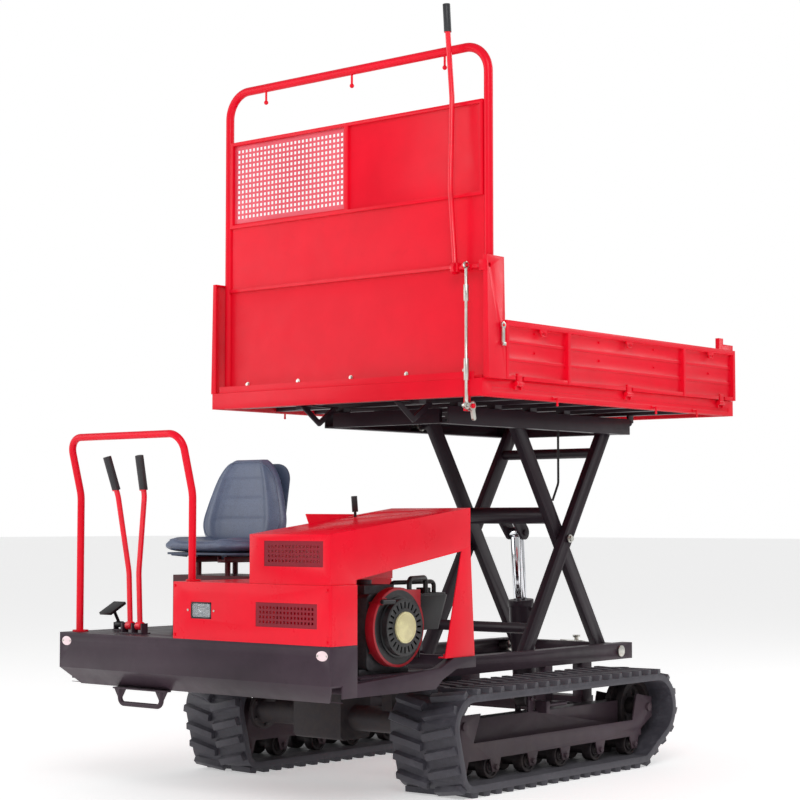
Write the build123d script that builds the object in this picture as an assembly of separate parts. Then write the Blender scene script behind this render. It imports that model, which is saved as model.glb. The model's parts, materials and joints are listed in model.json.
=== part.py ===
from build123d import *
import math
import os

# Crawler carrier with a scissor-lift drop-side bed. Millimetres.
# Front of the machine is -Y, its left side +X, up +Z. Origin: centre of the footprint on the ground.
# The bed is drawn raised, which is the rest pose of the lift.

# ---- overall sizes ----
LENGTH = 2624.0
HALF_L = LENGTH / 2
BODY_HALF_W = 678.0
BED_HALF_W = 715.0
TRACK_OUTER_X = 683.0
TRACK_W = 300.0
TRACK_H = 386.0
TRACK_FRONT = -677.0
TRACK_REAR = 837.0
BELT_T = 45.0
LUG_T = 20.0
LUG_PITCH = 72.0
ROLLER_R = 44.7
RUN = 0.05
GAP = 0.3

# ---- frame heights ----
RAIL_LOW = 395.0
RAIL_HIGH = 463.0
RAIL_IN = 272.0
RAIL_OUT = 322.0
RAIL_T = 6.0
BAND_LOW = 402.0
BAND_HIGH = 447.0
FLOOR_TOP = 576.0
PLATE = 6.0
BUMPER_Y = -HALF_L
BUMPER_BACK = BUMPER_Y + 135.0

# ---- scissor lift ----
LIFT_L = 1151.0
LIFT_ANGLE = 57.4
PIVOT_Y = 955.0
PIVOT_Z = 430.0
ARM_DEPTH = 64.0
ARM_T = 30.0
INNER_X = 202.0
OUTER_X = 237.0
PIN_R = 15.0
LIFT_ROLLER_R = 26.5
RISE = LIFT_L * math.sin(math.radians(LIFT_ANGLE))
REACH = LIFT_L * math.cos(math.radians(LIFT_ANGLE))
TOP_PIVOT_Z = PIVOT_Z + RISE
FRONT_PIVOT_Y = PIVOT_Y - REACH
TUBE_AT = 0.6
CYL_Y = 700.0
CYL_Z = 300.0
ROD_END_BACK = 62.0
ROD_END_DOWN = 72.0

# ---- bed ----
BED_FRONT = -511.0
BED_REAR = HALF_L
BED_Z = 1444.0
FLOOR_FRAME_H = 64.0
UP_RAIL_LOW = TOP_PIVOT_Z - 34.0
UP_RAIL_HIGH = TOP_PIVOT_Z + 34.0
GATE_LOW = 1510.0
GATE_HIGH = 1728.0
GATE_PIVOT_X = 705.0
GATE_PIVOT_Z = 1496.0
PANEL_Y = -438.0
PANEL_HALF_W = 672.0
PANEL_TOP = 2549.0
HOOP_TOP = 2773.0
HOOP_R = 17.0
POST_TOP = 1960.0

# ---- cover and seat ----
COVER_LEFT = -73.0
DECK_Z = 776.0
HOOD_IN = 308.0
HOOD_FRONT_TOP = 944.0
HOOD_REAR_TOP = 1036.0
HOOD_REAR = -553.0
SKIN = 4.0
SEAT_X = -385.0
GUARD_R = 13.6

parts = {}


def block(x0, x1, y0, y1, z0, z1):
    return Pos((x0 + x1) / 2, (y0 + y1) / 2, (z0 + z1) / 2) * Box(abs(x1 - x0), abs(y1 - y0), abs(z1 - z0))


def cyl_x(r, x0, x1, y, z):
    return Pos((x0 + x1) / 2, y, z) * Rot(0, 90, 0) * Cylinder(r, x1 - x0)


def cyl_y(r, y0, y1, x, z):
    return Pos(x, (y0 + y1) / 2, z) * Rot(90, 0, 0) * Cylinder(r, y1 - y0)


def cyl_z(r, z0, z1, x, y):
    return Pos(x, y, (z0 + z1) / 2) * Cylinder(r, z1 - z0)


def ring_x(r_out, r_in, x0, x1, y, z):
    return cyl_x(r_out, x0, x1, y, z) - cyl_x(r_in, x0 - 1, x1 + 1, y, z)


def prism_x(points, x0, x1):
    # closed outline of (y, z) corners, drawn along X
    face = make_face(Polyline(*[(x0, y, z) for y, z in points], close=True))
    return extrude(face, amount=x1 - x0, dir=(1, 0, 0))


def prism_y(points, y0, y1):
    face = make_face(Polyline(*[(x, y0, z) for x, z in points], close=True))
    return extrude(face, amount=y1 - y0, dir=(0, 1, 0))


def prism_z(points, z0, z1):
    face = make_face(Polyline(*[(x, y, z0) for x, y in points], close=True))
    return extrude(face, amount=z1 - z0, dir=(0, 0, 1))


def rod(p, q, r):
    p = Vector(*p)
    q = Vector(*q)
    axis = q - p
    return extrude(Plane(origin=p, z_dir=axis) * Circle(r), amount=axis.length)


def pipe(points, radii, r):
    path = FilletPolyline(*points, radius=radii)
    return sweep(Plane(origin=path @ 0, z_dir=path % 0) * Circle(r), path=path)


def strap_yz(p, q, depth, x0, x1, round_ends=True):
    # flat arm between two (y, z) points, depth across, from x0 to x1
    y0, z0 = p
    y1, z1 = q
    length = math.hypot(y1 - y0, z1 - z0)
    uy = (y1 - y0) / length
    uz = (z1 - z0) / length
    h = depth / 2
    corners = [(y0 - uz * h, z0 + uy * h), (y1 - uz * h, z1 + uy * h)]
    corners += [(y1 + uz * h, z1 - uy * h), (y0 + uz * h, z0 - uy * h)]
    body = prism_x(corners, x0, x1)
    if round_ends:
        body = body + cyl_x(h, x0, x1, y0, z0) + cyl_x(h, x0, x1, y1, z1)
    return body


def both(shape):
    return [shape, mirror(shape, about=Plane.YZ)]


def put(name, *shapes):
    solids = []
    for shape in shapes:
        items = shape if isinstance(shape, (list, tuple)) else [shape]
        for item in items:
            solids += item.solids()
    parts[name] = solids[0] if len(solids) == 1 else Compound(children=solids)


# ---------------------------------------------------------------- chassis

def channel_yrun(y0, y1, z0, z1, x_in, x_out, t):
    # channel open towards the centre line, on the +X side
    body = block(x_in, x_out, y0, y1, z0, z1)
    return body - block(x_in - 1, x_out - t, y0 - 1, y1 + 1, z0 + t, z1 - t)


BASE_REAR = 1048.0


def base_rail():
    rail = channel_yrun(-300, BASE_REAR, RAIL_LOW, RAIL_HIGH, RAIL_IN, RAIL_OUT, RAIL_T)
    beam = block(RAIL_IN, RAIL_OUT, BUMPER_BACK + GAP, -300, RAIL_LOW, RAIL_HIGH)
    beam -= block(RAIL_IN + 6, RAIL_OUT - 6, BUMPER_BACK, -306, RAIL_LOW + 6, RAIL_HIGH - 6)
    rail = rail + beam
    rail -= cyl_x(PIN_R, RAIL_IN, RAIL_OUT + 1, PIVOT_Y, PIVOT_Z)
    return rail


def side_beam():
    outline = [(BUMPER_BACK + GAP, BAND_LOW), (BUMPER_BACK + GAP, BAND_HIGH), (-735, 472), (-654, 505)]
    outline += [(-530, 505), (-530, 466), (-640, 466), (-722, 432), (-760, BAND_LOW)]
    body = prism_x(outline, 640, BODY_HALF_W)
    return body - prism_x([(y, z) for y, z in [(-1160, 408), (-1160, 441), (-740, 462), (-770, 408)]], 630, 672)


def cross_members():
    pieces = []
    for y0, y1 in ((-1177 + GAP, -1130), (-980, -940), (-790, -750)):
        for s in (1, -1):
            x0, x1 = sorted((s * (RAIL_OUT + GAP), s * (640 - GAP)))
            pieces.append(block(x0, x1, y0, y1, 408, 441))
        pieces.append(block(-RAIL_IN + GAP, RAIL_IN - GAP, y0, y1, 408, 441))
    pieces.append(block(-640 + GAP, 640 - GAP, -559, -533, RAIL_HIGH + GAP, 503))
    pieces.append(block(-RAIL_IN + GAP, RAIL_IN - GAP, -345, -300, 401, 457))
    pieces.append(block(-RAIL_IN + GAP, RAIL_IN - GAP, 1000, BASE_REAR, 401, 457))
    low = block(-RAIL_OUT, RAIL_OUT, 655, 745, 214, 256)
    for x0, x1 in ((RAIL_IN, RAIL_OUT), (-RAIL_OUT, -RAIL_IN)):
        low += block(x0, x1, 665, 735, 256, RAIL_LOW - GAP)
    for x0, x1 in ((38, 50), (-50, -38)):
        low += prism_x([(655, 256), (672, 300), (690, 318), (710, 318), (728, 300), (745, 256)], x0, x1)
    low -= cyl_x(14, -60, 60, CYL_Y, CYL_Z)
    pieces.append(low)
    for y0, y1 in ((-345, -300), (400, 450)):
        beam = block(-500, 500, y0, y1, 214, 256)
        for x0, x1 in ((RAIL_IN, RAIL_OUT), (-RAIL_OUT, -RAIL_IN)):
            beam += block(x0, x1, y0, y1, 256, RAIL_LOW - GAP)
        pieces.append(beam)
    return pieces


def bumper():
    y0 = BUMPER_Y
    outer = [(y0, 447), (y0, FLOOR_TOP), (y0 + 40, FLOOR_TOP), (y0 + 40, FLOOR_TOP - PLATE)]
    outer += [(y0 + PLATE, FLOOR_TOP - PLATE), (y0 + PLATE, 449), (y0 + 62, 390), (y0 + 58, 385)]
    shell = prism_x(outer, -BODY_HALF_W, BODY_HALF_W)
    side = [(y0 + PLATE, 449), (y0 + PLATE, FLOOR_TOP - PLATE), (BUMPER_BACK, FLOOR_TOP - PLATE)]
    side += [(BUMPER_BACK, BAND_LOW), (y0 + 62, BAND_LOW), (y0 + 50, 404)]
    for x0, x1 in ((BODY_HALF_W - PLATE, BODY_HALF_W), (-BODY_HALF_W, -BODY_HALF_W + PLATE)):
        shell += prism_x(side, x0, x1)
    for s in (1, -1):
        cut = [(s * (BODY_HALF_W + 1), 380), (s * (BODY_HALF_W + 1), 448), (s * (BODY_HALF_W - 62), 380)]
        shell -= prism_y(cut, y0 - 1, y0 + 61)
    return shell


def floor_plate():
    body = block(-BODY_HALF_W, COVER_LEFT, BUMPER_Y + 40 + GAP, -560, FLOOR_TOP - PLATE, FLOOR_TOP)
    body += block(COVER_LEFT, BODY_HALF_W, BUMPER_Y + 40 + GAP, BUMPER_BACK, FLOOR_TOP - PLATE, FLOOR_TOP)
    lip = FLOOR_TOP - 40
    body += block(-BODY_HALF_W, -BODY_HALF_W + 4, BUMPER_BACK + GAP, -560, lip, FLOOR_TOP - PLATE)
    for y in (-1120, -760):
        for x in (-655, -300, -110):
            body += block(x - 12, x + 12, y - 12, y + 12, BAND_HIGH + 25 + GAP, FLOOR_TOP - PLATE)
    return body


def step():
    u = pipe([(-390, -1268, 380), (-390, -1268, 326), (-172, -1268, 326), (-172, -1268, 380)], [22, 22], 9)
    body = u + block(-420, -140, -1278, -1251, 379, FLOOR_TOP - 191 - GAP)
    body += prism_y([(-420, 380), (-360, 380), (-383, 344), (-397, 344)], -1271, -1265)
    return body + prism_y([(-202, 380), (-142, 380), (-165, 344), (-179, 344)], -1271, -1265)


# ---------------------------------------------------------------- tracks

TRACK_X = TRACK_OUTER_X - TRACK_W / 2
SPROCKET_Y = -542.0
SPROCKET_R = 90.0
SPROCKET_Z = TRACK_H - BELT_T - SPROCKET_R
IDLER_R = 110.0
IDLER_Y = TRACK_REAR - BELT_T - IDLER_R
IDLER_Z = TRACK_H - BELT_T - IDLER_R
ROLLER_Z = BELT_T + ROLLER_R + GAP
ROLLER_YS = [-547.0, -352.0, -120.0, 95.0, 335.0, 580.0]
CARRIER_R = 30.0
CARRIER_Y = -40.0
CARRIER_Z = TRACK_H - BELT_T - CARRIER_R - GAP


def loop_face(offset):
    # convex loop round sprocket, idler and the two end rollers, (y, z) hull with arcs as fine chords
    wheels = [(SPROCKET_Y, SPROCKET_Z, SPROCKET_R), (IDLER_Y, IDLER_Z, IDLER_R)]
    wheels += [(ROLLER_YS[0], ROLLER_Z, ROLLER_R + GAP), (ROLLER_YS[-1], ROLLER_Z, ROLLER_R + GAP)]
    dots = []
    for y, z, r in wheels:
        for i in range(72):
            a = math.radians(i * 5)
            dots.append((y + (r + offset) * math.cos(a), z + (r + offset) * math.sin(a)))
    dots.sort()
    lower = []
    for p in dots:
        while len(lower) > 1 and turn(lower[-2], lower[-1], p) <= 1e-9:
            lower.pop()
        lower.append(p)
    upper = []
    for p in reversed(dots):
        while len(upper) > 1 and turn(upper[-2], upper[-1], p) <= 1e-9:
            upper.pop()
        upper.append(p)
    return lower[:-1] + upper[:-1]


def turn(a, b, c):
    return (b[0] - a[0]) * (c[1] - a[1]) - (b[1] - a[1]) * (c[0] - a[0])


def along_loop(points, pitch, phase):
    # evenly spaced (y, z, tangent angle) stations along a closed loop
    n = len(points)
    total = sum(math.dist(points[i], points[(i + 1) % n]) for i in range(n))
    count = round(total / pitch)
    step_len = total / count
    out = []
    target = phase * step_len
    run = 0.0
    for i in range(n):
        a = points[i]
        b = points[(i + 1) % n]
        seg = math.dist(a, b)
        while target <= run + seg and len(out) < count:
            t = (target - run) / seg
            ang = math.atan2(b[1] - a[1], b[0] - a[0])
            out.append((a[0] + (b[0] - a[0]) * t, a[1] + (b[1] - a[1]) * t, ang))
            target += step_len
        run += seg
    return out


def track_belt():
    # rubber belt with staggered bar lugs on each half, on the +X side
    carcass = BELT_T - LUG_T
    x0 = TRACK_OUTER_X - TRACK_W
    body = prism_x(loop_face(carcass), x0, TRACK_OUTER_X)
    body -= prism_x(loop_face(0.0), x0 - 1, TRACK_OUTER_X + 1)
    lugs = []
    length = TRACK_W / 2 - 12
    for side, phase in ((1, 0.25), (-1, 0.75)):
        for y, z, a in along_loop(loop_face(carcass - 1), LUG_PITCH, phase):
            lug = extrude(Plane.XZ * Trapezoid(36, LUG_T + 1, 76), amount=length / 2, both=True)
            lug = Rot(0, 0, 90 + 13 * side) * (Pos(0, 0, (LUG_T + 1) / 2) * lug)
            spot = Pos(TRACK_X + side * (6 + length / 2), y, z)
            lugs.append(spot * Rot(math.degrees(a) + 180, 0, 0) * lug)
    body = body.fuse(*lugs)
    return body & block(x0, TRACK_OUTER_X, -900, 1000, 0, TRACK_H)


def track_frame():
    # box beam inside the belt with roller plates each side and fixed axles
    cx = TRACK_X
    body = block(cx - 32, cx + 32, -450, 560, 170, 262)
    for x0 in (cx - 98, cx + 92):
        plate = block(x0, x0 + 6, -560, 630, 122, 186)
        for y in ROLLER_YS:
            plate += prism_x([(y - 34, 124), (y + 34, 124), (y + 18, 72), (y - 18, 72)], x0, x0 + 6)
        plate += prism_x([(-500, 150), (-440, 290), (-560, 290), (-590, 240), (-560, 150)], x0, x0 + 6)
        plate += prism_x([(560, 150), (600, 290), (712, 270), (712, 190), (630, 150)], x0, x0 + 6)
        body += plate
    for y in (-450, -235, -15, 215, 455, 510):
        body += block(cx - 93, cx + 93, y - 16, y + 16, 150, 171)
    for y in ROLLER_YS:
        body += cyl_x(10, cx - 108, cx + 108, y, ROLLER_Z)
    body += cyl_x(16, cx - 108, cx + 108, SPROCKET_Y, SPROCKET_Z)
    body += cyl_x(16, cx - 108, cx + 108, IDLER_Y, IDLER_Z)
    # stand for the carrier roller
    for x0 in (cx - 32, cx + 26):
        body += block(x0, x0 + 6, CARRIER_Y - 16, CARRIER_Y + 16, 261, CARRIER_Z + 12)
    body += cyl_x(8, cx - 40, cx + 40, CARRIER_Y, CARRIER_Z)
    # belt tensioner rod
    body += cyl_y(9, 20, 150, cx + 60, 284) + block(cx + 20, cx + 74, 4, 26, 255, 300)
    # feet that meet the low cross members
    for y0, y1 in ((-345, -300), (400, 450)):
        body += block(500 + GAP, cx - 30, y0, y1, 214, 256)
    return body


def roller(y):
    cx = TRACK_X
    body = cyl_x(22, cx - 80, cx + 80, y, ROLLER_Z)
    for a, b in ((cx - 78, cx - 36), (cx + 36, cx + 78)):
        body += cyl_x(ROLLER_R, a, b, y, ROLLER_Z)
    body -= cyl_x(10 + RUN, cx - 90, cx + 90, y, ROLLER_Z)
    for a, b in ((cx + 70, cx + 79), (cx - 79, cx - 70)):
        body -= ring_x(36, 26, a, b, y, ROLLER_Z)
    return body


def sprocket():
    cx = TRACK_X
    tip = SPROCKET_R - GAP
    body = cyl_x(tip - 16, cx - 40, cx + 40, SPROCKET_Y, SPROCKET_Z)
    for i in range(9):
        a = math.radians(i * 40)
        spot = Pos(cx, SPROCKET_Y + (tip - 14) * math.cos(a), SPROCKET_Z + (tip - 14) * math.sin(a))
        body += spot * Rot(math.degrees(a) - 90, 0, 0) * Box(30, 20, 22)
    body += cyl_x(34, cx - 88, cx + 88, SPROCKET_Y, SPROCKET_Z)
    return body - cyl_x(16 + RUN, cx - 95, cx + 95, SPROCKET_Y, SPROCKET_Z)


def idler():
    cx = TRACK_X
    body = cyl_x(IDLER_R - GAP, cx - 40, cx + 40, IDLER_Y, IDLER_Z)
    body -= ring_x(IDLER_R + 5, 96, cx - 14, cx + 14, IDLER_Y, IDLER_Z)
    body -= ring_x(88, 34, cx + 8, cx + 41, IDLER_Y, IDLER_Z)
    body -= ring_x(88, 34, cx - 41, cx - 8, IDLER_Y, IDLER_Z)
    body += cyl_x(32, cx - 88, cx + 88, IDLER_Y, IDLER_Z)
    for i in range(6):
        a = math.radians(i * 60)
        body -= cyl_x(15, cx - 20, cx + 20, IDLER_Y + 61 * math.cos(a), IDLER_Z + 61 * math.sin(a))
    return body - cyl_x(16 + RUN, cx - 95, cx + 95, IDLER_Y, IDLER_Z)


def carrier_roller():
    body = cyl_x(CARRIER_R, TRACK_X - 24, TRACK_X + 24, CARRIER_Y, CARRIER_Z)
    return body - cyl_x(8 + RUN, TRACK_X - 30, TRACK_X + 30, CARRIER_Y, CARRIER_Z)


# ---------------------------------------------------------------- drive and engine

def gearbox():
    y = SPROCKET_Y
    z = SPROCKET_Z
    hub_x = TRACK_OUTER_X - TRACK_W - 12
    body = block(-120, 120, y - 90, y + 80, 170, 372)
    body = fillet(body.edges().filter_by(Axis.X), 24)
    for s in (1, -1):
        a, b = sorted((s * 118, s * hub_x))
        body += cyl_x(48, a, b, y, z)
        a, b = sorted((s * (hub_x - 18), s * hub_x))
        body += cyl_x(74, a, b, y, z)
        for i in range(6):
            t = math.radians(30 + 60 * i)
            p, q = sorted((s * (hub_x - 26), s * (hub_x - 17)))
            body += cyl_x(7, p, q, y + 61 * math.cos(t), z + 61 * math.sin(t))
    for x0, x1 in ((RAIL_IN, RAIL_OUT), (-RAIL_OUT, -RAIL_IN)):
        body += block(x0, x1, y - 32, y + 32, z + 30, RAIL_LOW - GAP)
    return body


ENG_Y = -874.0
ENG_Z = 620.0
HANDLE_Y = -968.0
HANDLE_Z = 712.0


def engine_bed():
    body = block(RAIL_OUT + 6, 632, -1110, -640, 450, 458)
    for y in (-960, -770):
        body += block(RAIL_OUT + 6, 632, y - 12, y + 12, 441 + GAP, 450)
    return body - block(575, 620, -1080, -700, 440, 460)


def engine_block():
    body = block(360, 552, -985, -770, 470, 735)
    body = fillet(body.edges().filter_by(Axis.X), 22)
    body += block(380, 540, -1010, -745, 458 + GAP, 476)
    body += block(402, 510, -772, -655, 512, 584)
    for i in range(9):
        y0 = -764 + i * 13
        body += block(392, 520, y0, y0 + 5, 500, 596)
    body += block(410, 505, -656, -622, 522, 574)
    body += cyl_x(38, 551, 566, ENG_Y, ENG_Z)
    body += block(400, 520, -960, -800, 734, 765)
    body += cyl_z(26, 764, 782, 450, -880)
    return body


def fan_shroud():
    wall = cyl_x(138, 568, 604, ENG_Y, ENG_Z) + block(568, 604, ENG_Y - 30, ENG_Y + 120, ENG_Z, ENG_Z + 128)
    wall -= cyl_x(128, 560, 598, ENG_Y, ENG_Z)
    wall -= block(560, 598, ENG_Y - 20, ENG_Y + 110, ENG_Z, ENG_Z + 118)
    wall -= cyl_x(101, 590, 610, ENG_Y, ENG_Z)
    for i in range(4):
        t = math.radians(45 + 90 * i)
        post_y = ENG_Y + 112 * math.cos(t)
        wall += cyl_x(8, 568, 599, post_y, ENG_Z + 112 * math.sin(t))
    for i in (1, 2):
        t = math.radians(45 + 90 * i)
        wall += block(552 + GAP, 572, ENG_Y - 100, ENG_Y - 70, ENG_Z - 90, ENG_Z + 90)
    return wall + block(568, 598, ENG_Y - 100, ENG_Y - 88, ENG_Z - 80, ENG_Z + 80)


def recoil_cover():
    y = ENG_Y
    z = ENG_Z
    body = ring_x(99, 92, 598, 630, y, z) + cyl_x(99, 626, 632, y, z)
    for i in range(24):
        slot = Pos(0, y, z) * Rot(i * 15, 0, 0) * Pos(629, 78, 0) * Box(20, 22, 7)
        body -= slot
    body += ring_x(105, 92, 604 + GAP, 610, y, z)
    return body + cyl_x(54, 631, 638, y, z) - ring_x(49, 46, 637, 640, y, z)


def recoil_handle():
    body = cyl_y(9, HANDLE_Y - 34, HANDLE_Y + 34, 634, HANDLE_Z)
    return fillet(body.edges(), 4) + cyl_x(5, 612 + GAP, 630, HANDLE_Y, HANDLE_Z)


def handle_guide():
    ring = block(600, 618, HANDLE_Y - 12, HANDLE_Y + 12, HANDLE_Z - 12, HANDLE_Z + 12)
    return ring - cyl_x(7, 612, 640, HANDLE_Y, HANDLE_Z)


def air_cleaner():
    low = Plane.XY.offset(598) * (Pos(478, -658) * RectangleRounded(120, 200, 22))
    top = Plane.XY.offset(722) * (Pos(478, -645) * RectangleRounded(160, 240, 30))
    body = loft([low, top])
    body += Pos(478, -645, 722) * extrude(RectangleRounded(150, 230, 28), amount=8)
    body += block(430, 480, -770 + GAP, -750, 640, 690)
    return body + cyl_z(26, 729, 748, 500, -610)


def engine_hoses():
    top = 748 + 2 * GAP
    low = 730 + 2 * GAP
    first = pipe([(590, -800, top), (590, -800, 786), (542, -650, 786), (542, -650, low)], [18, 18], 9)
    second = pipe([(500, -792, 735.6), (500, -792, 770), (528, -585, 770), (528, -585, low)], [16, 16], 8)
    return [first, second]


# ---------------------------------------------------------------- covers

GRILLE_X = (336.0, 617.0)
GRILLE_Z = (632.0, 714.0)
HOOD_GRILLE_X = (370.0, 640.0)
HOOD_GRILLE_Z = (836.0, 922.0)
LAMP_X = (17.0, 126.0)
LAMP_Z = (645.0, 711.0)
HOOD_LEFT = HOOD_IN - 6
SHIFT_X = 344.0
SHIFT_Y = -800.0


def hood_top(y):
    t = (y + 1307.0) / (1307.0 + HOOD_REAR)
    return HOOD_FRONT_TOP + t * (HOOD_REAR_TOP - HOOD_FRONT_TOP)


def lower_cover():
    right = BODY_HALF_W
    body = block(COVER_LEFT, right, BUMPER_Y, BUMPER_BACK, FLOOR_TOP, DECK_Z)
    body = fillet(body.edges().filter_by(Axis.Z).group_by(Axis.Y)[0], 9)
    body -= block(COVER_LEFT + SKIN, right - SKIN, BUMPER_Y + SKIN, BUMPER_BACK + 1, FLOOR_TOP - 1, DECK_Z - SKIN)
    body += block(COVER_LEFT, HOOD_IN, BUMPER_BACK - 1, -560, DECK_Z - SKIN, DECK_Z)
    body += block(COVER_LEFT, COVER_LEFT + SKIN, BUMPER_BACK - 1, -560, FLOOR_TOP, DECK_Z)
    body += block(HOOD_IN - SKIN, HOOD_IN, BUMPER_BACK, -560, RAIL_HIGH + GAP, DECK_Z)
    body -= block(GRILLE_X[0], GRILLE_X[1], BUMPER_Y - 5, BUMPER_Y + 10, *GRILLE_Z)
    body -= block(LAMP_X[0] + 4, LAMP_X[1] - 4, BUMPER_Y - 5, BUMPER_Y + 10, LAMP_Z[0] + 4, LAMP_Z[1] - 4)
    return body


def upper_cover():
    side = BODY_HALF_W - 6
    foot = DECK_Z + GAP
    outline = [(-1307, foot), (-1307, HOOD_FRONT_TOP), (HOOD_REAR, HOOD_REAR_TOP), (HOOD_REAR, 889)]
    outline += [(BUMPER_BACK, 792), (BUMPER_BACK, foot)]
    body = prism_x(outline, HOOD_LEFT, side) + block(HOOD_LEFT, HOOD_IN - 2, BUMPER_BACK, HOOD_REAR, foot, 900)
    inner = [(-1307 + SKIN, 700), (-1307 + SKIN, HOOD_FRONT_TOP - SKIN), (HOOD_REAR - SKIN, HOOD_REAR_TOP - SKIN)]
    inner += [(HOOD_REAR - SKIN, 700)]
    body -= prism_x(inner, HOOD_LEFT + SKIN, side - SKIN)
    # raked corner on the outer side of the front face
    body -= block(HOOD_GRILLE_X[0], HOOD_GRILLE_X[1], -1320, -1300, *HOOD_GRILLE_Z)
    body -= block(SHIFT_X - 14, SHIFT_X + 14, SHIFT_Y - 60, SHIFT_Y + 60, 940, 1040)
    # upturned flange along the seat side
    z0 = hood_top(-1010) - 2
    body += prism_y([(HOOD_LEFT, z0), (HOOD_LEFT - 16, 1012), (HOOD_LEFT - 12, 1014), (HOOD_LEFT + 4, z0)], -1010, -740)
    # leg at the rear, down to the side beam
    leg = prism_x([(-700, 505 + GAP), (-530, 505 + GAP), (HOOD_REAR, 900), (-601, 894)], side - SKIN, side)
    leg += block(641, side, -700, -530, 505 + GAP, 510)
    leg += prism_x([(-534, 507), (-530, 507), (HOOD_REAR, 900), (HOOD_REAR - SKIN, 900)], 641, side)
    for y in (-675, -560):
        leg += cyl_z(9, 509, 519, 654, y)
    return body + leg


def mesh_panel(x0, x1, z0, z1, y0, y1, pitch, r):
    panel = block(x0, x1, y0, y1, z0, z1)
    nx = int((x1 - x0 - 2 * pitch) / pitch)
    nz = int((z1 - z0 - 2 * pitch) / pitch)
    holes = []
    for j in range(nz + 1):
        for i in range(nx + 1):
            x = (x0 + x1) / 2 + (i - nx / 2) * pitch
            z = (z0 + z1) / 2 + (j - nz / 2) * pitch
            holes.append(Pos(x, (y0 + y1) / 2, z) * Box(r, y1 - y0 + 2, r))
    return panel.cut(*holes)


def cover_grilles():
    low = mesh_panel(GRILLE_X[0] + GAP, GRILLE_X[1] - GAP, GRILLE_Z[0] + GAP, GRILLE_Z[1] - GAP,
                     BUMPER_Y + 1, BUMPER_Y + 3, 16.0, 9.0)
    high = mesh_panel(HOOD_GRILLE_X[0] + GAP, HOOD_GRILLE_X[1] - GAP, HOOD_GRILLE_Z[0] + GAP,
                      HOOD_GRILLE_Z[1] - GAP, -1306, -1304, 16.0, 9.0)
    return [low, high]


def headlamp_bezel():
    cx = sum(LAMP_X) / 2
    cz = sum(LAMP_Z) / 2
    w = LAMP_X[1] - LAMP_X[0]
    h = LAMP_Z[1] - LAMP_Z[0]
    plane = Plane(origin=(cx, BUMPER_Y, cz), x_dir=(1, 0, 0), z_dir=(0, 1, 0))
    ring = extrude(plane * RectangleRounded(w - 8 - 2 * GAP, h - 8 - 2 * GAP, 12), amount=46)
    ring -= Pos(0, -1, 0) * extrude(plane * RectangleRounded(w - 18, h - 18, 10), amount=42)
    return ring


def headlamp_lens():
    cx = sum(LAMP_X) / 2
    cz = sum(LAMP_Z) / 2
    w = LAMP_X[1] - LAMP_X[0] - 18.6
    h = LAMP_Z[1] - LAMP_Z[0] - 18.6
    plane = Plane(origin=(cx, BUMPER_Y + 2, cz), x_dir=(1, 0, 0), z_dir=(0, 1, 0))
    return extrude(plane * RectangleRounded(w, h, 9.7), amount=8)


def reflectors():
    out = []
    for s in (1, -1):
        plane = Plane(origin=(s * 640, BUMPER_Y + GAP, 545), x_dir=(1, 0, 0), z_dir=(0, -1, 0))
        disc = extrude(plane * Ellipse(26, 17), amount=GAP, both=False)
        out.append(extrude(plane * Ellipse(26, 17), amount=-3))
    return out


def reflector_seats():
    out = []
    for s in (1, -1):
        plane = Plane(origin=(s * 640, BUMPER_Y - 1, 545), x_dir=(1, 0, 0), z_dir=(0, -1, 0))
        out.append(extrude(plane * Ellipse(26.3, 17.3), amount=-5))
    return out


def guard_bar():
    y0 = -1240.0
    y1 = BUMPER_Y + GUARD_R + 0.4
    left = -650.0
    right = -48.0
    points = [(left, y0, FLOOR_TOP + 4), (left, y0, 1085), (left, y1, 1300), (right, y1, 1300)]
    points += [(right, y0, 1085), (right, y0, DECK_Z + 4)]
    body = pipe(points, [160, 62, 62, 160], GUARD_R)
    body += cyl_z(30, FLOOR_TOP + GAP, FLOOR_TOP + 6, left + 4, y0)
    return body + cyl_z(26, DECK_Z + GAP, DECK_Z + 6, right + 6, y0)


# ---------------------------------------------------------------- seat and controls

LEVER_Y = -1200.0
LEVER_Z = 604.0
LEVER_XS = (-415.0, -362.0)
PEDAL_X = -590.0
PEDAL_Y = -1095.0


def lever_stand():
    body = block(-446, -331, LEVER_Y - 24, LEVER_Y + 24, FLOOR_TOP, FLOOR_TOP + 4)
    for x in (-444, -391.5, -339):
        body += block(x - 3, x + 3, LEVER_Y - 15, LEVER_Y + 15, FLOOR_TOP + 3, LEVER_Z + 10)
    body += cyl_x(7, -447, -336, LEVER_Y, LEVER_Z)
    body += block(PEDAL_X - 26, PEDAL_X + 26, PEDAL_Y - 15, PEDAL_Y + 15, FLOOR_TOP, FLOOR_TOP + 4)
    for x in (PEDAL_X - 20, PEDAL_X + 20):
        body += block(x - 3, x + 3, PEDAL_Y - 11, PEDAL_Y + 11, FLOOR_TOP + 3, FLOOR_TOP + 30)
    return body + cyl_x(6, PEDAL_X - 24, PEDAL_X + 24, PEDAL_Y, FLOOR_TOP + 22)


def steering_lever(x, splay):
    hub = cyl_x(15, x - 14, x + 14, LEVER_Y, LEVER_Z)
    stalk = pipe([(x, LEVER_Y, LEVER_Z + 4), (x, LEVER_Y - 8, 800), (x + splay, LEVER_Y - 22, 1080),
                  (x + splay * 1.35, LEVER_Y - 62, 1222)], [180, 120], 10)
    body = hub + stalk - cyl_x(7 + RUN, x - 16, x + 16, LEVER_Y, LEVER_Z)
    p = Vector(x + splay, LEVER_Y - 22, 1080)
    q = Vector(x + splay * 1.35, LEVER_Y - 62, 1222)
    a = p + (q - p) * 0.16
    b = p + (q - p) * 1.03
    return body + rod(tuple(a), tuple(b), 15.5)


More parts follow.
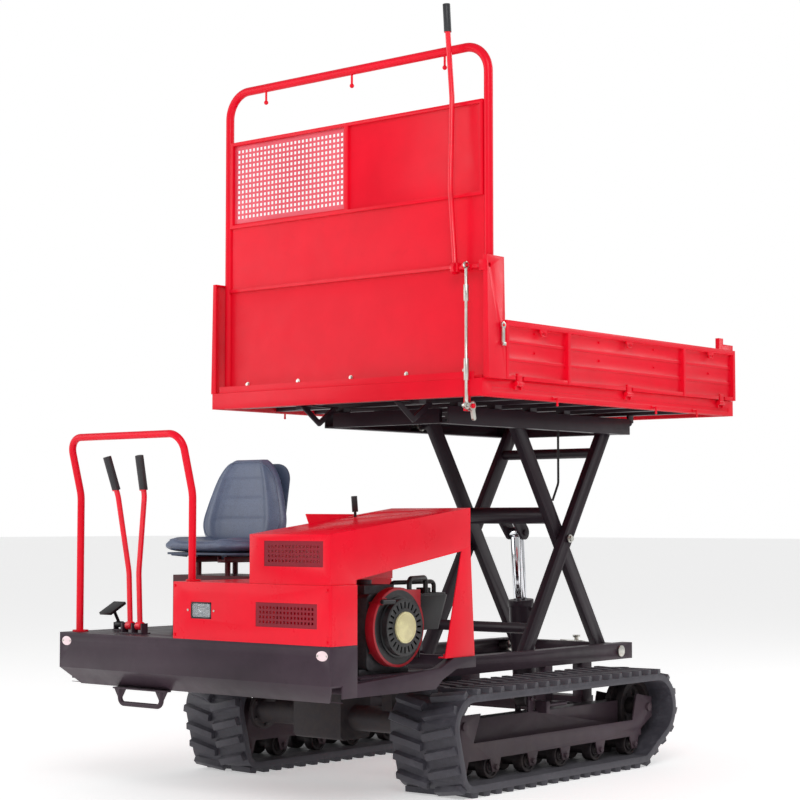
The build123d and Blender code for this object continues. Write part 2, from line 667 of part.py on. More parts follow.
def pedal():
    z = FLOOR_TOP + 22
    body = cyl_x(12, PEDAL_X - 16, PEDAL_X + 16, PEDAL_Y, z)
    body += rod((PEDAL_X, PEDAL_Y, z), (PEDAL_X, PEDAL_Y - 34, z + 62), 6)
    body += Pos(PEDAL_X, PEDAL_Y - 36, z + 62) * Rot(28, 0, 0) * Box(64, 84, 10)
    return body - cyl_x(6 + RUN, PEDAL_X - 20, PEDAL_X + 20, PEDAL_Y, z)


def shift_lever():
    body = rod((SHIFT_X, SHIFT_Y, 930), (SHIFT_X, SHIFT_Y - 10, 1040), 5)
    body += rod((SHIFT_X, SHIFT_Y - 8, 1022), (SHIFT_X, SHIFT_Y - 14, 1078), 11)
    return body + cyl_x(9, SHIFT_X - 12, SHIFT_X + 12, SHIFT_Y, 930) - cyl_x(4 + RUN, 300, 400, SHIFT_Y, 930)


def shift_pin():
    return cyl_x(4, HOOD_LEFT + 1, SHIFT_X + 18, SHIFT_Y, 930)


SEAT_FRONT = -912.0
SEAT_BACK = -567.0


def seat_stand():
    body = block(-580, COVER_LEFT - GAP, -830, -562, 750, 780)
    body -= block(-576, COVER_LEFT - 4, -826, -566, 740, 776)
    for x0, x1 in ((-580, -576), (COVER_LEFT - 4, COVER_LEFT - GAP)):
        body += block(x0, x1, -830, -562, FLOOR_TOP + GAP, 776)
    body += block(-580, COVER_LEFT - GAP, -830, -826, FLOOR_TOP + GAP, 776)
    for x in (-468, -310):
        for y in (-800, -600):
            body += cyl_z(11, 779, 832, x, y)
        body += block(x - 20, x + 20, -835, -575, 830, 842)
        body += block(x - 20, x - 15, -835, -575, 841, 852) + block(x + 15, x + 20, -835, -575, 841, 852)
    return body


def seat_shell():
    # runners, pan and back plate under the cushion
    pan = extrude(Plane.XY.offset(860) * (Pos(SEAT_X, -748) * RectangleRounded(400, 284, 60)), amount=8)
    body = pan
    for x in (-468, -310):
        body += block(x - 14, x + 14, -820, -590, 842 + GAP, 861)
    slab = Plane(origin=(SEAT_X, -618, 862), x_dir=(1, 0, 0), z_dir=(0, -1, 0.16))
    back = extrude(slab * (Pos(0, 180) * RectangleRounded(360, 350, 70)), amount=-7)
    body += back & block(-700, 0, -700, -400, 862, 1300)
    body += block(SEAT_X - 60, SEAT_X + 60, -611.5, -604, 860, 900)
    body += rod((-560, -775, 853), (-630, -790, 858), 5) + block(-565, -500, -781, -769, 853, 862)
    return body


def seat_cushion():
    base = extrude(Plane.XY.offset(868 + GAP) * (Pos(SEAT_X, -758) * RectangleRounded(450, 308, 80)), amount=52)
    base = fillet(base.edges().group_by(Axis.Z)[-1], 20)
    slab = Plane(origin=(SEAT_X, -683, 875), x_dir=(1, 0, 0), z_dir=(0, -1, 0.16))
    outline = [(-215, 0), (215, 0), (222, 90), (200, 230), (160, 330), (110, 362), (-110, 362), (-160, 330)]
    outline += [(-200, 230), (-222, 90)]
    spline = Polyline(*outline, close=True)
    back = extrude(slab * make_face(spline), amount=-80)
    lift = block(-800, 0, -900, -300, 868 + GAP, 1400)
    cut = Plane(origin=(SEAT_X, -618 - GAP - 0.2, 862), x_dir=(1, 0, 0), z_dir=(0, -1, 0.16))
    half = extrude(cut * Rectangle(1000, 2000), amount=-400)
    return ((base + back) & lift) - half


# ---------------------------------------------------------------- scissor lift

LOW_REAR = (PIVOT_Y, PIVOT_Z)
TOP_FRONT = (FRONT_PIVOT_Y, TOP_PIVOT_Z)
LOW_FRONT = (FRONT_PIVOT_Y, PIVOT_Z)
TOP_REAR = (PIVOT_Y, TOP_PIVOT_Z)
MID = ((PIVOT_Y + FRONT_PIVOT_Y) / 2, (PIVOT_Z + TOP_PIVOT_Z) / 2)
TUBE_R = 35.0
TUBE_Y = PIVOT_Y - TUBE_AT * REACH
TUBE_Z = PIVOT_Z + TUBE_AT * RISE
EYE_Y = TUBE_Y + ROD_END_BACK
EYE_Z = TUBE_Z - ROD_END_DOWN
STUB_R = 12.0
ROLL_X0 = 276.0
ROLL_X1 = 314.0


def lift_arms_inner():
    body = None
    for s in (1, -1):
        x0, x1 = sorted((s * INNER_X, s * (INNER_X + ARM_T)))
        arm = strap_yz(LOW_REAR, TOP_FRONT, ARM_DEPTH, x0, x1)
        arm -= cyl_x(PIN_R + RUN, x0 - 1, x1 + 1, *LOW_REAR)
        a, b = sorted((s * (INNER_X + ARM_T - 1), s * (OUTER_X + ARM_T + 9)))
        arm += cyl_x(PIN_R, a, b, *MID)
        a, b = sorted((s * (INNER_X + ARM_T - 1), s * (ROLL_X1 + 1)))
        arm += cyl_x(STUB_R, a, b, *TOP_FRONT)
        a, b = sorted((s * (INNER_X + ARM_T - 1), s * (ROLL_X0 - 1)))
        arm += cyl_x(STUB_R + 8, a, b, *TOP_FRONT)
        body = arm if body is None else body + arm
    body += cyl_x(TUBE_R, -INNER_X - 1, INNER_X + 1, TUBE_Y, TUBE_Z)
    for x0, x1 in ((31, 43), (-43, -31)):
        body += strap_yz((TUBE_Y, TUBE_Z), (EYE_Y, EYE_Z), 62, x0, x1)
        a, b = (x1 - 1, x1 + 8) if x0 > 0 else (x0 - 8, x0 + 1)
        body += cyl_x(14, a, b, EYE_Y, EYE_Z)
    return body


def lift_arms_outer():
    body = None
    t = 0.12
    for s in (1, -1):
        x0, x1 = sorted((s * OUTER_X, s * (OUTER_X + ARM_T)))
        arm = strap_yz(LOW_FRONT, TOP_REAR, ARM_DEPTH, x0, x1)
        arm -= cyl_x(PIN_R + RUN, x0 - 1, x1 + 1, *TOP_REAR)
        arm -= cyl_x(PIN_R + RUN, x0 - 1, x1 + 1, *MID)
        a, b = sorted((s * (OUTER_X + ARM_T - 1), s * (ROLL_X1 + 1)))
        arm += cyl_x(STUB_R, a, b, *LOW_FRONT)
        body = arm if body is None else body + arm
    for k in (t, 1 - t):
        body += cyl_x(22, -OUTER_X - 1, OUTER_X + 1, FRONT_PIVOT_Y + k * REACH, PIVOT_Z + k * RISE)
    return body


def lift_roller(y, z):
    body = cyl_x(LIFT_ROLLER_R, ROLL_X0, ROLL_X1, y, z)
    return body - cyl_x(STUB_R + RUN, ROLL_X0 - 1, ROLL_X1 + 1, y, z)


def chassis_pins():
    out = []
    for s in (1, -1):
        a, b = sorted((s * (INNER_X - 6), s * (RAIL_OUT + 8)))
        pin = cyl_x(PIN_R - RUN, a, b, *LOW_REAR)
        a, b = sorted((s * (INNER_X + ARM_T + 2), s * (RAIL_OUT - RAIL_T - 2)))
        pin += cyl_x(24, a, b, *LOW_REAR)
        a, b = sorted((s * (RAIL_OUT + GAP), s * (RAIL_OUT + 8)))
        pin += cyl_x(24, a, b, *LOW_REAR)
        out.append(pin)
    out.append(cyl_x(14 - RUN, -62, 62, CYL_Y, CYL_Z))
    return out


def tow_hitch():
    body = block(-60, 60, BASE_REAR + GAP, BASE_REAR + 12, 404, 460)
    for z in (412, 444):
        body += block(-34, 34, BASE_REAR + 10, BASE_REAR + 66, z, z + 10)
    body -= cyl_z(11, 400, 470, 0, BASE_REAR + 44)
    body += cyl_z(10, 396, 474, 0, BASE_REAR + 44) + cyl_z(17, 470, 480, 0, BASE_REAR + 44)
    return body + cyl_z(10.9, 411, 455, 0, BASE_REAR + 44)


CYL_LEN = math.hypot(EYE_Y - CYL_Y, EYE_Z - CYL_Z)
CYL_UY = (EYE_Y - CYL_Y) / CYL_LEN
CYL_UZ = (EYE_Z - CYL_Z) / CYL_LEN


def on_cyl(s):
    return (0, CYL_Y + CYL_UY * s, CYL_Z + CYL_UZ * s)


def cylinder_barrel():
    body = cyl_x(28, -34, 34, CYL_Y, CYL_Z) + rod(on_cyl(12), on_cyl(32), 24)
    body += rod(on_cyl(30), on_cyl(345), 52) + rod(on_cyl(325), on_cyl(352), 56)
    body -= rod(on_cyl(37), on_cyl(360), 29 + RUN)
    port = on_cyl(310)
    body += rod((46, port[1], port[2]), (72, port[1], port[2]), 9)
    return body - cyl_x(14, -40, 40, CYL_Y, CYL_Z)


def cylinder_rod():
    body = rod(on_cyl(286), on_cyl(CYL_LEN - 18), 29)
    body += cyl_x(25, -28, 28, EYE_Y, EYE_Z)
    return body - cyl_x(13, -30, 30, EYE_Y, EYE_Z)


# ---------------------------------------------------------------- upper frame

DUMP_Y = 1060.0
DUMP_Z = 1418.0
UP_FRONT = -236.0
UP_REAR = 1044.0


# the front tie is thin, so that the lowered inner arms stop short of it
FRONT_TIE = 18.0


def upper_frame():
    body = None
    for s in (1, -1):
        rail = channel_yrun(UP_FRONT, UP_REAR, UP_RAIL_LOW, UP_RAIL_HIGH, RAIL_IN, RAIL_OUT, RAIL_T)
        rail += cyl_x(PIN_R, OUTER_X - 4, RAIL_OUT - 1, *TOP_REAR)
        rail += cyl_x(24, OUTER_X + ARM_T + 3, RAIL_OUT - 1, *TOP_REAR)
        rail += strap_yz((UP_REAR - 20, DUMP_Z), (DUMP_Y, DUMP_Z), 30, 280, 300)
        rail += block(279, 317, UP_REAR - 34, UP_REAR, UP_RAIL_LOW + 3, UP_RAIL_HIGH - 3)
        rail += cyl_x(10, 299, 318, DUMP_Y, DUMP_Z)
        if s < 0:
            rail = mirror(rail, about=Plane.YZ)
        body = rail if body is None else body + rail
    for y0, y1 in ((UP_FRONT, UP_FRONT + FRONT_TIE), (UP_REAR - 40, UP_REAR)):
        body += block(-RAIL_IN - 4, RAIL_IN + 4, y0, y1, UP_RAIL_LOW + 1, UP_RAIL_HIGH - 8)
    return body


def lift_cable():
    x = 180.0
    y = 700.0
    cord = pipe([(x, y + 40, UP_RAIL_HIGH - 12), (x, y, UP_RAIL_HIGH - 32), (x, y, 1150), (x - 12, y - 26, 1076)],
                [22, 60], 5)
    clip = block(x - 10, x + 10, y + 36, UP_REAR - 40 - GAP, UP_RAIL_HIGH - 18, UP_RAIL_HIGH - 8)
    return cord + clip


# ---------------------------------------------------------------- bed

RAIL_FACE = BED_HALF_W - 21.0
REAR_FACE = BED_REAR - 21.0
REAR_OFF = REAR_FACE - RAIL_FACE
FLOOR_Z = BED_Z + FLOOR_FRAME_H
RIM_W = 38.0
RIM_WALL = 6.0
LOAD_FRONT = -386.0
LOAD_PROUD = 1.5
SIDE_HINGES = (-300.0, 443.0, 1170.0)
REAR_HINGES = (-520.0, 0.0, 520.0)


def bed_floor():
    x = RAIL_FACE
    body = block(-x, x, BED_FRONT, REAR_FACE, BED_Z, FLOOR_Z)
    body -= block(-x + RIM_W, x - RIM_W, BED_FRONT + RIM_W, REAR_FACE - RIM_W, BED_Z - 1, FLOOR_Z - 4)
    # the rim is a channel, open underneath
    wall = RIM_WALL
    channel = block(-x + wall, x - wall, BED_FRONT + wall, REAR_FACE - wall, BED_Z - 1, FLOOR_Z - wall)
    inner = RIM_W - wall
    channel -= block(-x + inner, x - inner, BED_FRONT + inner, REAR_FACE - inner, BED_Z - 2, FLOOR_Z)
    body -= channel
    # the sheet that carries the load stands just proud of the rim
    body += block(-x + 10, x - 10, LOAD_FRONT, REAR_FACE - 10, FLOOR_Z - 3, FLOOR_Z + LOAD_PROUD)
    # pressed groove along each rail
    for s in (1, -1):
        a, b = sorted((s * (x - 3), s * (x + 5)))
        body -= block(a, b, BED_FRONT + 60, REAR_FACE - 40, BED_Z + 16, BED_Z + 34)
    return body


def bed_crossmembers():
    out = []
    x = RAIL_FACE - RIM_W - GAP
    for i in range(7):
        y = -390 + i * 240
        beam = block(-x, x, y - 22, y + 22, BED_Z + 6, FLOOR_Z - 4 - GAP)
        out.append(beam - block(-x - 1, x + 1, y - 17, y + 17, BED_Z + 11, FLOOR_Z - 10))
    last = block(-x, x, 1052, 1098, BED_Z + 6, FLOOR_Z - 4 - GAP)
    last -= block(-x - 1, x + 1, 1057, 1093, BED_Z + 11, FLOOR_Z - 10)
    for s in (1, -1):
        a, b = sorted((s * 304, s * 314))
        lug = block(a, b, DUMP_Y - 14, DUMP_Y + 26, DUMP_Z, BED_Z + 8) + cyl_x(14, a, b, DUMP_Y, DUMP_Z)
        lug -= cyl_x(10 + RUN, a - 1, b + 1, DUMP_Y, DUMP_Z)
        last += lug
    out[6] = last
    # bearers that rest on the lift's upper rails
    for s in (1, -1):
        a, b = sorted((s * 276, s * 318))
        for i in range(5):
            y0 = -390 + i * 240 - 22
            out[i] += block(a, b, y0, y0 + 44, UP_RAIL_HIGH + GAP, BED_Z + 8)
    return out


def bed_brackets():
    out = []
    for s in (1, -1):
        a, b = sorted((s * 240, s * 248))
        y = -355.0
        v = strap_yz((y - 100, BED_Z + 2), (y, BED_Z - 66), 22, a, b)
        v += strap_yz((y + 100, BED_Z + 2), (y, BED_Z - 66), 22, a, b)
        v = v & block(a, b, -900, 900, 1300, BED_Z + 6 - GAP)
        # the flat head of the bracket lies under the first cross member
        v += block(a, b, y - 104, y + 104, BED_Z, BED_Z + 6 - GAP)
        out.append(v)
    return out


def front_gate():
    w = PANEL_HALF_W - HOOP_R - GAP
    y = PANEL_Y
    body = block(-w, w, y - 2, y + 2, FLOOR_Z + GAP, PANEL_TOP)
    body -= block(-w + 14, -28, y - 5, y + 5, 2212, PANEL_TOP - 14)
    for z, depth in ((PANEL_TOP - 7, 30), (2198, 30), (1933, 34), (FLOOR_Z + 9, 40)):
        body += block(-w, w, y - depth / 2, y + depth / 2, z - 7, z + 7)
    body += block(-28, -8, y - 15, y + 15, 2198, PANEL_TOP)
    body += block(-w, -w + 14, y - 15, y + 15, 2198, PANEL_TOP)
    body += block(w - 14, w, y - 15, y + 15, 2198, PANEL_TOP)
    body += block(-w, w, BED_FRONT + 2, y + 2, FLOOR_Z + GAP, FLOOR_Z + 6)
    body += block(-w, w, BED_FRONT + 2, BED_FRONT + 6, FLOOR_Z + GAP, FLOOR_Z + 26)
    return body


def corner_posts():
    out = []
    for s in (1, -1):
        inner = PANEL_HALF_W + HOOP_R + GAP
        top = BED_HALF_W - 8
        outline = [(s * inner, FLOOR_Z + GAP), (s * BED_HALF_W, FLOOR_Z + GAP), (s * top, POST_TOP)]
        outline += [(s * inner, POST_TOP)]
        post = prism_y(outline, -497, -392)
        a, b = sorted((s * (inner - 1), s * (top - SKIN)))
        post -= block(a, b, -497 + SKIN, -380, FLOOR_Z - 5, POST_TOP + 5)
        a, b = sorted((s * inner, s * top))
        post += block(a, b, -497, -392, POST_TOP - 6, POST_TOP)
        post += block(a, b, -497, -392, FLOOR_Z + GAP, FLOOR_Z + 8)
        out.append(post)
    return out


def gate_hoop():
    y = PANEL_Y
    w = PANEL_HALF_W
    top = HOOP_TOP - HOOP_R
    body = pipe([(-w, y, FLOOR_Z + 8), (-w, y, top), (w, y, top), (w, y, FLOOR_Z + 8)], [105, 105], HOOP_R)
    for x in (-466, 0, 466):
        body += cyl_z(4.5, top - 58, top - HOOP_R + 2, x, y)
        body += Pos(x, y, top - 60) * Sphere(9)
    return body


def gate_mesh():
    w = PANEL_HALF_W - HOOP_R - GAP
    y = PANEL_Y
    return mesh_panel(-w + 14 + GAP, -28 - GAP, 2212 + GAP, PANEL_TOP - 14 - GAP, y - 1, y + 1, 21.0, 12.0)


def gate_profile(length0, length1):
    # drop gate on the +X side, outer face outboard
    x = RAIL_FACE
    body = block(x - 4, x, length0, length1, GATE_LOW, GATE_HIGH)
    body += block(x - 6, x + 18, length0, length1, GATE_HIGH - 20, GATE_HIGH)
    body += block(x - 4, x + 16, length0, length1, GATE_LOW, GATE_LOW + 15)
    for z in (1585, 1652):
        body += block(x - 1, x + 5, length0, length1, z - 6, z + 6)
    return body


def gate_knuckle(y):
    x = RAIL_FACE
    clear = block(x, x + 30, y - 27, y + 27, GATE_LOW - 1, GATE_LOW + 14)
    tab = cyl_y(10, y - 15, y + 15, GATE_PIVOT_X, GATE_PIVOT_Z)
    tab += block(GATE_PIVOT_X - 4, GATE_PIVOT_X + 5, y - 15, y + 15, GATE_PIVOT_Z, GATE_LOW + 24)
    bore = cyl_y(6 + RUN, y - 20, y + 20, GATE_PIVOT_X, GATE_PIVOT_Z)
    return clear, tab, bore


def tie_hook(y):
    x = RAIL_FACE
    hook = rod((x + 17, y - 16, 1698), (x + 17, y - 16, 1684), 3)
    hook += rod((x + 17, y - 16, 1684), (x + 17, y + 16, 1684), 3) + rod((x + 17, y + 16, 1684), (x + 17, y + 16, 1698), 3)
    return hook + block(x + 12, x + 18, y - 22, y + 22, 1696, 1712)


def side_gate():
    y0 = -386.0
    y1 = BED_REAR - 28.0
    x = RAIL_FACE
    body = gate_profile(y0, y1)
    for y in (y0 + 9, 21, 865, y1 - 9):
        body += block(x - 4, x + 18, y - 9, y + 9, GATE_LOW, GATE_HIGH)
    for y in SIDE_HINGES:
        clear, tab, bore = gate_knuckle(y)
        body = body - clear + tab - bore
    for y in (-150, 443, 1080):
        body += tie_hook(y)
    # corner catch on the top rim
    body += block(x - 2, x + 16, 1151, 1268, GATE_HIGH - 2, GATE_HIGH + 22)
    return body + block(x - 2, x + 16, 1151, 1186, GATE_HIGH + 20, GATE_HIGH + 47)


def rear_gate():
    # same section as a side gate, turned to face the rear
    half = RAIL_FACE - 7.0
    x = RAIL_FACE
    body = gate_profile(-half, half)
    for y in (-half + 9, -230, 230, half - 9):
        body += block(x - 4, x + 18, y - 9, y + 9, GATE_LOW, GATE_HIGH)
    for y in REAR_HINGES:
        clear, tab, bore = gate_knuckle(y)
        body = body - clear + tab - bore
    return Pos(0, REAR_OFF, 0) * (Rot(0, 0, 90) * body)


def hinge_ears(y):
    x = RAIL_FACE
    ear = None
    for y0, y1 in ((y - 22, y - 15.5), (y + 15.5, y + 22)):
        plate = cyl_y(10, y0, y1, GATE_PIVOT_X, GATE_PIVOT_Z)
        plate += block(x + GAP, GATE_PIVOT_X, y0, y1, GATE_PIVOT_Z - 22, GATE_PIVOT_Z + 6)
        ear = plate if ear is None else ear + plate
    ear += cyl_y(6, y - 25, y + 25, GATE_PIVOT_X, GATE_PIVOT_Z)
    return ear + block(x + GAP, x + 4, y - 22, y + 22, BED_Z + 30, GATE_PIVOT_Z - 12)


def gate_hinges():
    out = []
    for y in SIDE_HINGES:
        out += both(hinge_ears(y))
    for y in REAR_HINGES:
        out.append(Pos(0, REAR_OFF, 0) * (Rot(0, 0, 90) * hinge_ears(y)))
    return out


def rope_hooks():
    out = []
    x = RAIL_FACE
    for y in (-60, 640, 960):
        hook = block(x + GAP, x + 4, y - 12, y + 12, BED_Z + 4, BED_Z + 15.7)
        hook += rod((x + 3, y, BED_Z + 8), (x + 16, y, BED_Z + 8), 4)
        hook += rod((x + 16, y, BED_Z + 8), (x + 16, y, BED_Z - 16), 4)
        hook += Pos(x + 16, y, BED_Z - 16) * Sphere(5)
        hook += Pos(x + 16, y, BED_Z + 8) * Sphere(4)
        out += both(hook)
    return out


LATCH_Y = -416.0
LATCH_Z = 1705.0


def post_latch():
    x = BED_HALF_W + 1.5
    body = cyl_x(13, x, x + 7, LATCH_Y, LATCH_Z) + block(x, x + 6, LATCH_Y - 8, LATCH_Y + 8, 1636, LATCH_Z)
    body += block(x, x + 10, LATCH_Y - 10, LATCH_Y + 10, 1630, 1642)
    return body - cyl_x(5 + RUN, x - 1, x + 20, LATCH_Y, LATCH_Z)


def latch_pins():
    x = BED_HALF_W + 1.5
    pin = cyl_x(5, BED_HALF_W - 10, x + 9, LATCH_Y, LATCH_Z)
    return both(pin)


# ---------------------------------------------------------------- bed control

CTRL_Y = -480.0
CTRL_Z = 1922.0
CTRL_X = 547.0
CRANK_Z = 1409.0
ARM_LEN = 46.0
CTRL_ROD_X = 634.0


def front_frame():
    near, far, bore = control_brackets()
    posts = corner_posts()
    pins = latch_pins()
    return [(front_gate() + near) - bore, (posts[0] + pins[0] + far) - bore, posts[1] + pins[1]]


def control_lever():
    y = CTRL_Y
    z = CTRL_Z
    body = cyl_x(23, CTRL_X - 8, CTRL_X + 8, y, z) + cyl_x(9, CTRL_X, 700, y, z)
    stalk = pipe([(CTRL_X, y, z + 10), (CTRL_X - 8, y - 18, z + 300), (CTRL_X - 10, y - 4, 2560),
                  (CTRL_X - 22, y - 14, 2815)], [300, 300], 10)
    body += stalk + rod((CTRL_X - 22, y - 14, 2810), (CTRL_X - 26, y - 17, 2917), 14)
    arm = strap_yz((y, z), (y - ARM_LEN, z), 18, CTRL_ROD_X - 14, CTRL_ROD_X - 4 - GAP)
    return body + arm + cyl_x(5, CTRL_ROD_X - 6, CTRL_ROD_X + 7, y - ARM_LEN, z)


def control_brackets():
    # shaft bearings on the mid rail and on the corner post
    y = CTRL_Y
    near = block(562, 570, y - 15, PANEL_Y - 12, CTRL_Z - 15, CTRL_Z + 18)
    far = block(672, 706, y - 19, y + 21, CTRL_Z - 20, CTRL_Z + 20)
    far -= block(690, 702, y - 13, y + 22, CTRL_Z - 30, CTRL_Z + 30)
    bore = cyl_x(9 + RUN, 555, 712, y, CTRL_Z)
    return near, far, bore


def control_rod():
    y = CTRL_Y - ARM_LEN
    x = CTRL_ROD_X
    body = rod((x, y, CRANK_Z + 10), (x, y, CTRL_Z - 10), 6)
    for z in (CTRL_Z, CRANK_Z):
        body += cyl_x(14, x - 4, x + 4, y, z)
        body -= cyl_x(8, x - 6, x + 6, y, z)
    return body + cyl_z(10, 1500, 1580, x, y) + cyl_z(10, 1790, 1850, x, y)


def bell_crank():
    y = CTRL_Y
    z = CRANK_Z
    x = CTRL_ROD_X
    body = strap_yz((y, z), (y - ARM_LEN, z), 18, x - 14, x - 4 - GAP) + cyl_x(18, x - 22, x - 5, y, z)
    body += cyl_x(5, x - 6, x + 7, y - ARM_LEN, z) + strap_yz((y, z), (y + 10, z - 44), 18, x - 14, x - 5)
    return body - cyl_x(9 + RUN, x - 30, x + 5, y, z)


def crank_bracket():
    y = CTRL_Y
    x = CTRL_ROD_X
    body = block(x - 36, x - 28, y - 18, y + 16, CRANK_Z - 18, BED_Z + 2)
    return body + cyl_x(9, x - 30, x, y, CRANK_Z)


# ---------------------------------------------------------------- every sub-part

def build():
    put("base_rails", both(base_rail()))
    put("frame_beams", both(side_beam()), cross_members(), engine_bed())
    seats = reflector_seats()
    put("front_bumper", bumper() - seats[0] - seats[1])
    put("floor_plate", floor_plate() + lever_stand())
    put("bumper_reflectors", reflectors())
    put("boarding_step", step())
    put("track_frames", both(track_frame()))
    put("track_belts", both(track_belt()))
    put("drive_gearbox", gearbox())
    put("track_sprockets", both(sprocket()))
    put("track_idlers", both(idler()))
    for i, y in enumerate(ROLLER_YS):
        put("track_rollers_%d" % (i + 1), both(roller(y)))
    put("carrier_rollers", both(carrier_roller()))
    put("engine_block", engine_block())
    put("fan_shroud", fan_shroud() + handle_guide())
    put("recoil_cover", recoil_cover())
    put("recoil_handle", recoil_handle())
    put("air_cleaner", air_cleaner())
    put("engine_hoses", engine_hoses())
    put("lower_cover", lower_cover())
    put("upper_cover", upper_cover() + shift_pin())
    put("cover_grilles", cover_grilles())
    put("headlamp_bezel", headlamp_bezel())
    put("headlamp_lens", headlamp_lens())
    put("guard_bar", guard_bar())
    put("steering_lever_right", steering_lever(LEVER_XS[0], -48.0))
    put("steering_lever_left", steering_lever(LEVER_XS[1], 42.0))
    put("foot_pedal", pedal())
    put("shift_lever", shift_lever())
    put("seat_stand", seat_stand())
    put("seat_shell", seat_shell())
    put("seat_cushion", seat_cushion())
    put("lift_arms_inner", lift_arms_inner())
    put("lift_arms_outer", lift_arms_outer())
    put("lower_lift_rollers", both(lift_roller(*LOW_FRONT)))
    put("upper_lift_rollers", both(lift_roller(*TOP_FRONT)))
    put("chassis_pins", chassis_pins(), tow_hitch())
    put("cylinder_barrel", cylinder_barrel())
    put("cylinder_rod", cylinder_rod())
    put("upper_frame", upper_frame())
    put("lift_cable", lift_cable())
    put("bed_floor", bed_floor() + crank_bracket())
    put("bed_crossmembers", bed_crossmembers(), bed_brackets())
    put("front_gate", front_frame())
    put("gate_hoop", gate_hoop())
    put("gate_mesh", gate_mesh())
    put("side_gate_left", side_gate())
    put("side_gate_right", mirror(side_gate(), about=Plane.YZ))
    put("rear_gate", rear_gate())
    put("bed_hardware", gate_hinges(), rope_hooks())
    put("post_latch_left", post_latch())
    put("post_latch_right", mirror(post_latch(), about=Plane.YZ))
    put("control_lever", control_lever())
    put("control_rod", control_rod())
    put("bell_crank", bell_crank())


build()
os.makedirs("parts", exist_ok=True)
for name, shape in parts.items():
    export_step(shape, "parts/" + name + ".step")
print(len(parts), "sub-parts")
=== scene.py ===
"""Looks of the crawler carrier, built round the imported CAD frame.

Every finish is a procedural node material and every repeated fitting comes from one Geometry Nodes
group. Lengths are metres in the shared frame: front of the machine -Y, its left side +X, up +Z.
"""
import json
import logging
import math
from dataclasses import dataclass
from enum import Enum
from typing import Dict, Iterable, List, Optional, Sequence, Tuple, Union

import bmesh
import bpy
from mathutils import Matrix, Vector

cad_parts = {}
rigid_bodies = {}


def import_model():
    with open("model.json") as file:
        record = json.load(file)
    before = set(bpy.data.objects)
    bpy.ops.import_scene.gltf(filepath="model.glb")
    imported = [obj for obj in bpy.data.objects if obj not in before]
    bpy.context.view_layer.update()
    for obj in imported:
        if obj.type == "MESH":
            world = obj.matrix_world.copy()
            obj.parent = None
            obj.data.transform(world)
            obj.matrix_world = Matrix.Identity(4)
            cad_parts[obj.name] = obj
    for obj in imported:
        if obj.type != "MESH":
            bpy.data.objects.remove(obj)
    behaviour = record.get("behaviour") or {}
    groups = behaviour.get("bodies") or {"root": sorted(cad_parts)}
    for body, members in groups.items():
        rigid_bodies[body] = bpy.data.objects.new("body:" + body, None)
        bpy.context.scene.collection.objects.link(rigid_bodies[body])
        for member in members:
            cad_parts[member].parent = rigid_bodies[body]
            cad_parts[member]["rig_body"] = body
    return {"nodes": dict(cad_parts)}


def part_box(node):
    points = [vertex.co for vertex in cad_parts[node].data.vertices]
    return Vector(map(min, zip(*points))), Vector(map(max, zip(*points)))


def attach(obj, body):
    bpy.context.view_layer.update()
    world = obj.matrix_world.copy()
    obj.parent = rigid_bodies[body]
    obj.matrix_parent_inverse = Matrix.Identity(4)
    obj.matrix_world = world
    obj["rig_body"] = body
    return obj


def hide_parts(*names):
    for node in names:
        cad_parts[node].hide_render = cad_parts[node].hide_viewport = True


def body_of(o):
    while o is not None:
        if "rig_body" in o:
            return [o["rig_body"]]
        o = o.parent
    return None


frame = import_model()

log = logging.getLogger("carrier")
logging.basicConfig(level=logging.INFO, format="%(name)s: %(message)s")

Colour = Tuple[float, float, float]
Point = Tuple[float, float, float]
Material = bpy.types.Material
Piece = bpy.types.Object
Looks = Dict[str, Material]
Socket = bpy.types.NodeSocket
Value = Union[float, Socket]
SEED = 7
WELD = 2e-6
FLAT_DEGREES = 0.6
EDGE_DEGREES = 38


def linear(r: int, g: int, b: int) -> Colour:
    """Turns an 8-bit display colour into linear light.

    Args:
        r, g, b: display values from 0 to 255.
    Returns:
        The linear colour.
    """
    def one(v: float) -> float:
        """One channel in linear light."""
        v /= 255.0
        return v / 12.92 if v <= 0.04045 else ((v + 0.055) / 1.055) ** 2.4
    return one(r), one(g), one(b)


class Facing(Enum):
    """Direction a fitting's head points in."""
    LEFT = (0.0, math.pi / 2, 0.0)
    RIGHT = (0.0, -math.pi / 2, 0.0)
    FRONT = (math.pi / 2, 0.0, 0.0)
    REAR = (-math.pi / 2, 0.0, 0.0)
    UP = (0.0, 0.0, 0.0)
    DOWN = (math.pi, 0.0, 0.0)


# ------------------------------------------------------------------ materials

class Wiring:
    """Small helper round any node tree."""

    def __init__(self, tree: bpy.types.NodeTree) -> None:
        """Keeps the tree to work on."""
        self.tree = tree

    def node(self, kind: str, **values: object) -> bpy.types.Node:
        """Adds a node.

        Args:
            kind: node type.
            values: its properties, or its inputs when named in_NAME.
        Returns:
            The node.
        """
        made = self.tree.nodes.new(kind)
        for key, value in values.items():
            if key.startswith("in_"):
                made.inputs[key[3:].replace("_", " ")].default_value = value
            else:
                setattr(made, key, value)
        return made

    def link(self, a: Socket, b: Socket) -> None:
        """Joins an output socket to an input socket."""
        self.tree.links.new(a, b)

    def math(self, op: str, a: Value, b: Optional[Value] = None) -> Socket:
        """Math node.

        Args:
            op: operation name.
            a, b: sockets or numbers.
        Returns:
            The result socket.
        """
        made = self.node("ShaderNodeMath", operation=op)
        for i, v in enumerate((a, b)):
            if v is None:
                continue
            if isinstance(v, (int, float)):
                made.inputs[i].default_value = v
            else:
                self.link(v, made.inputs[i])
        return made.outputs[0]


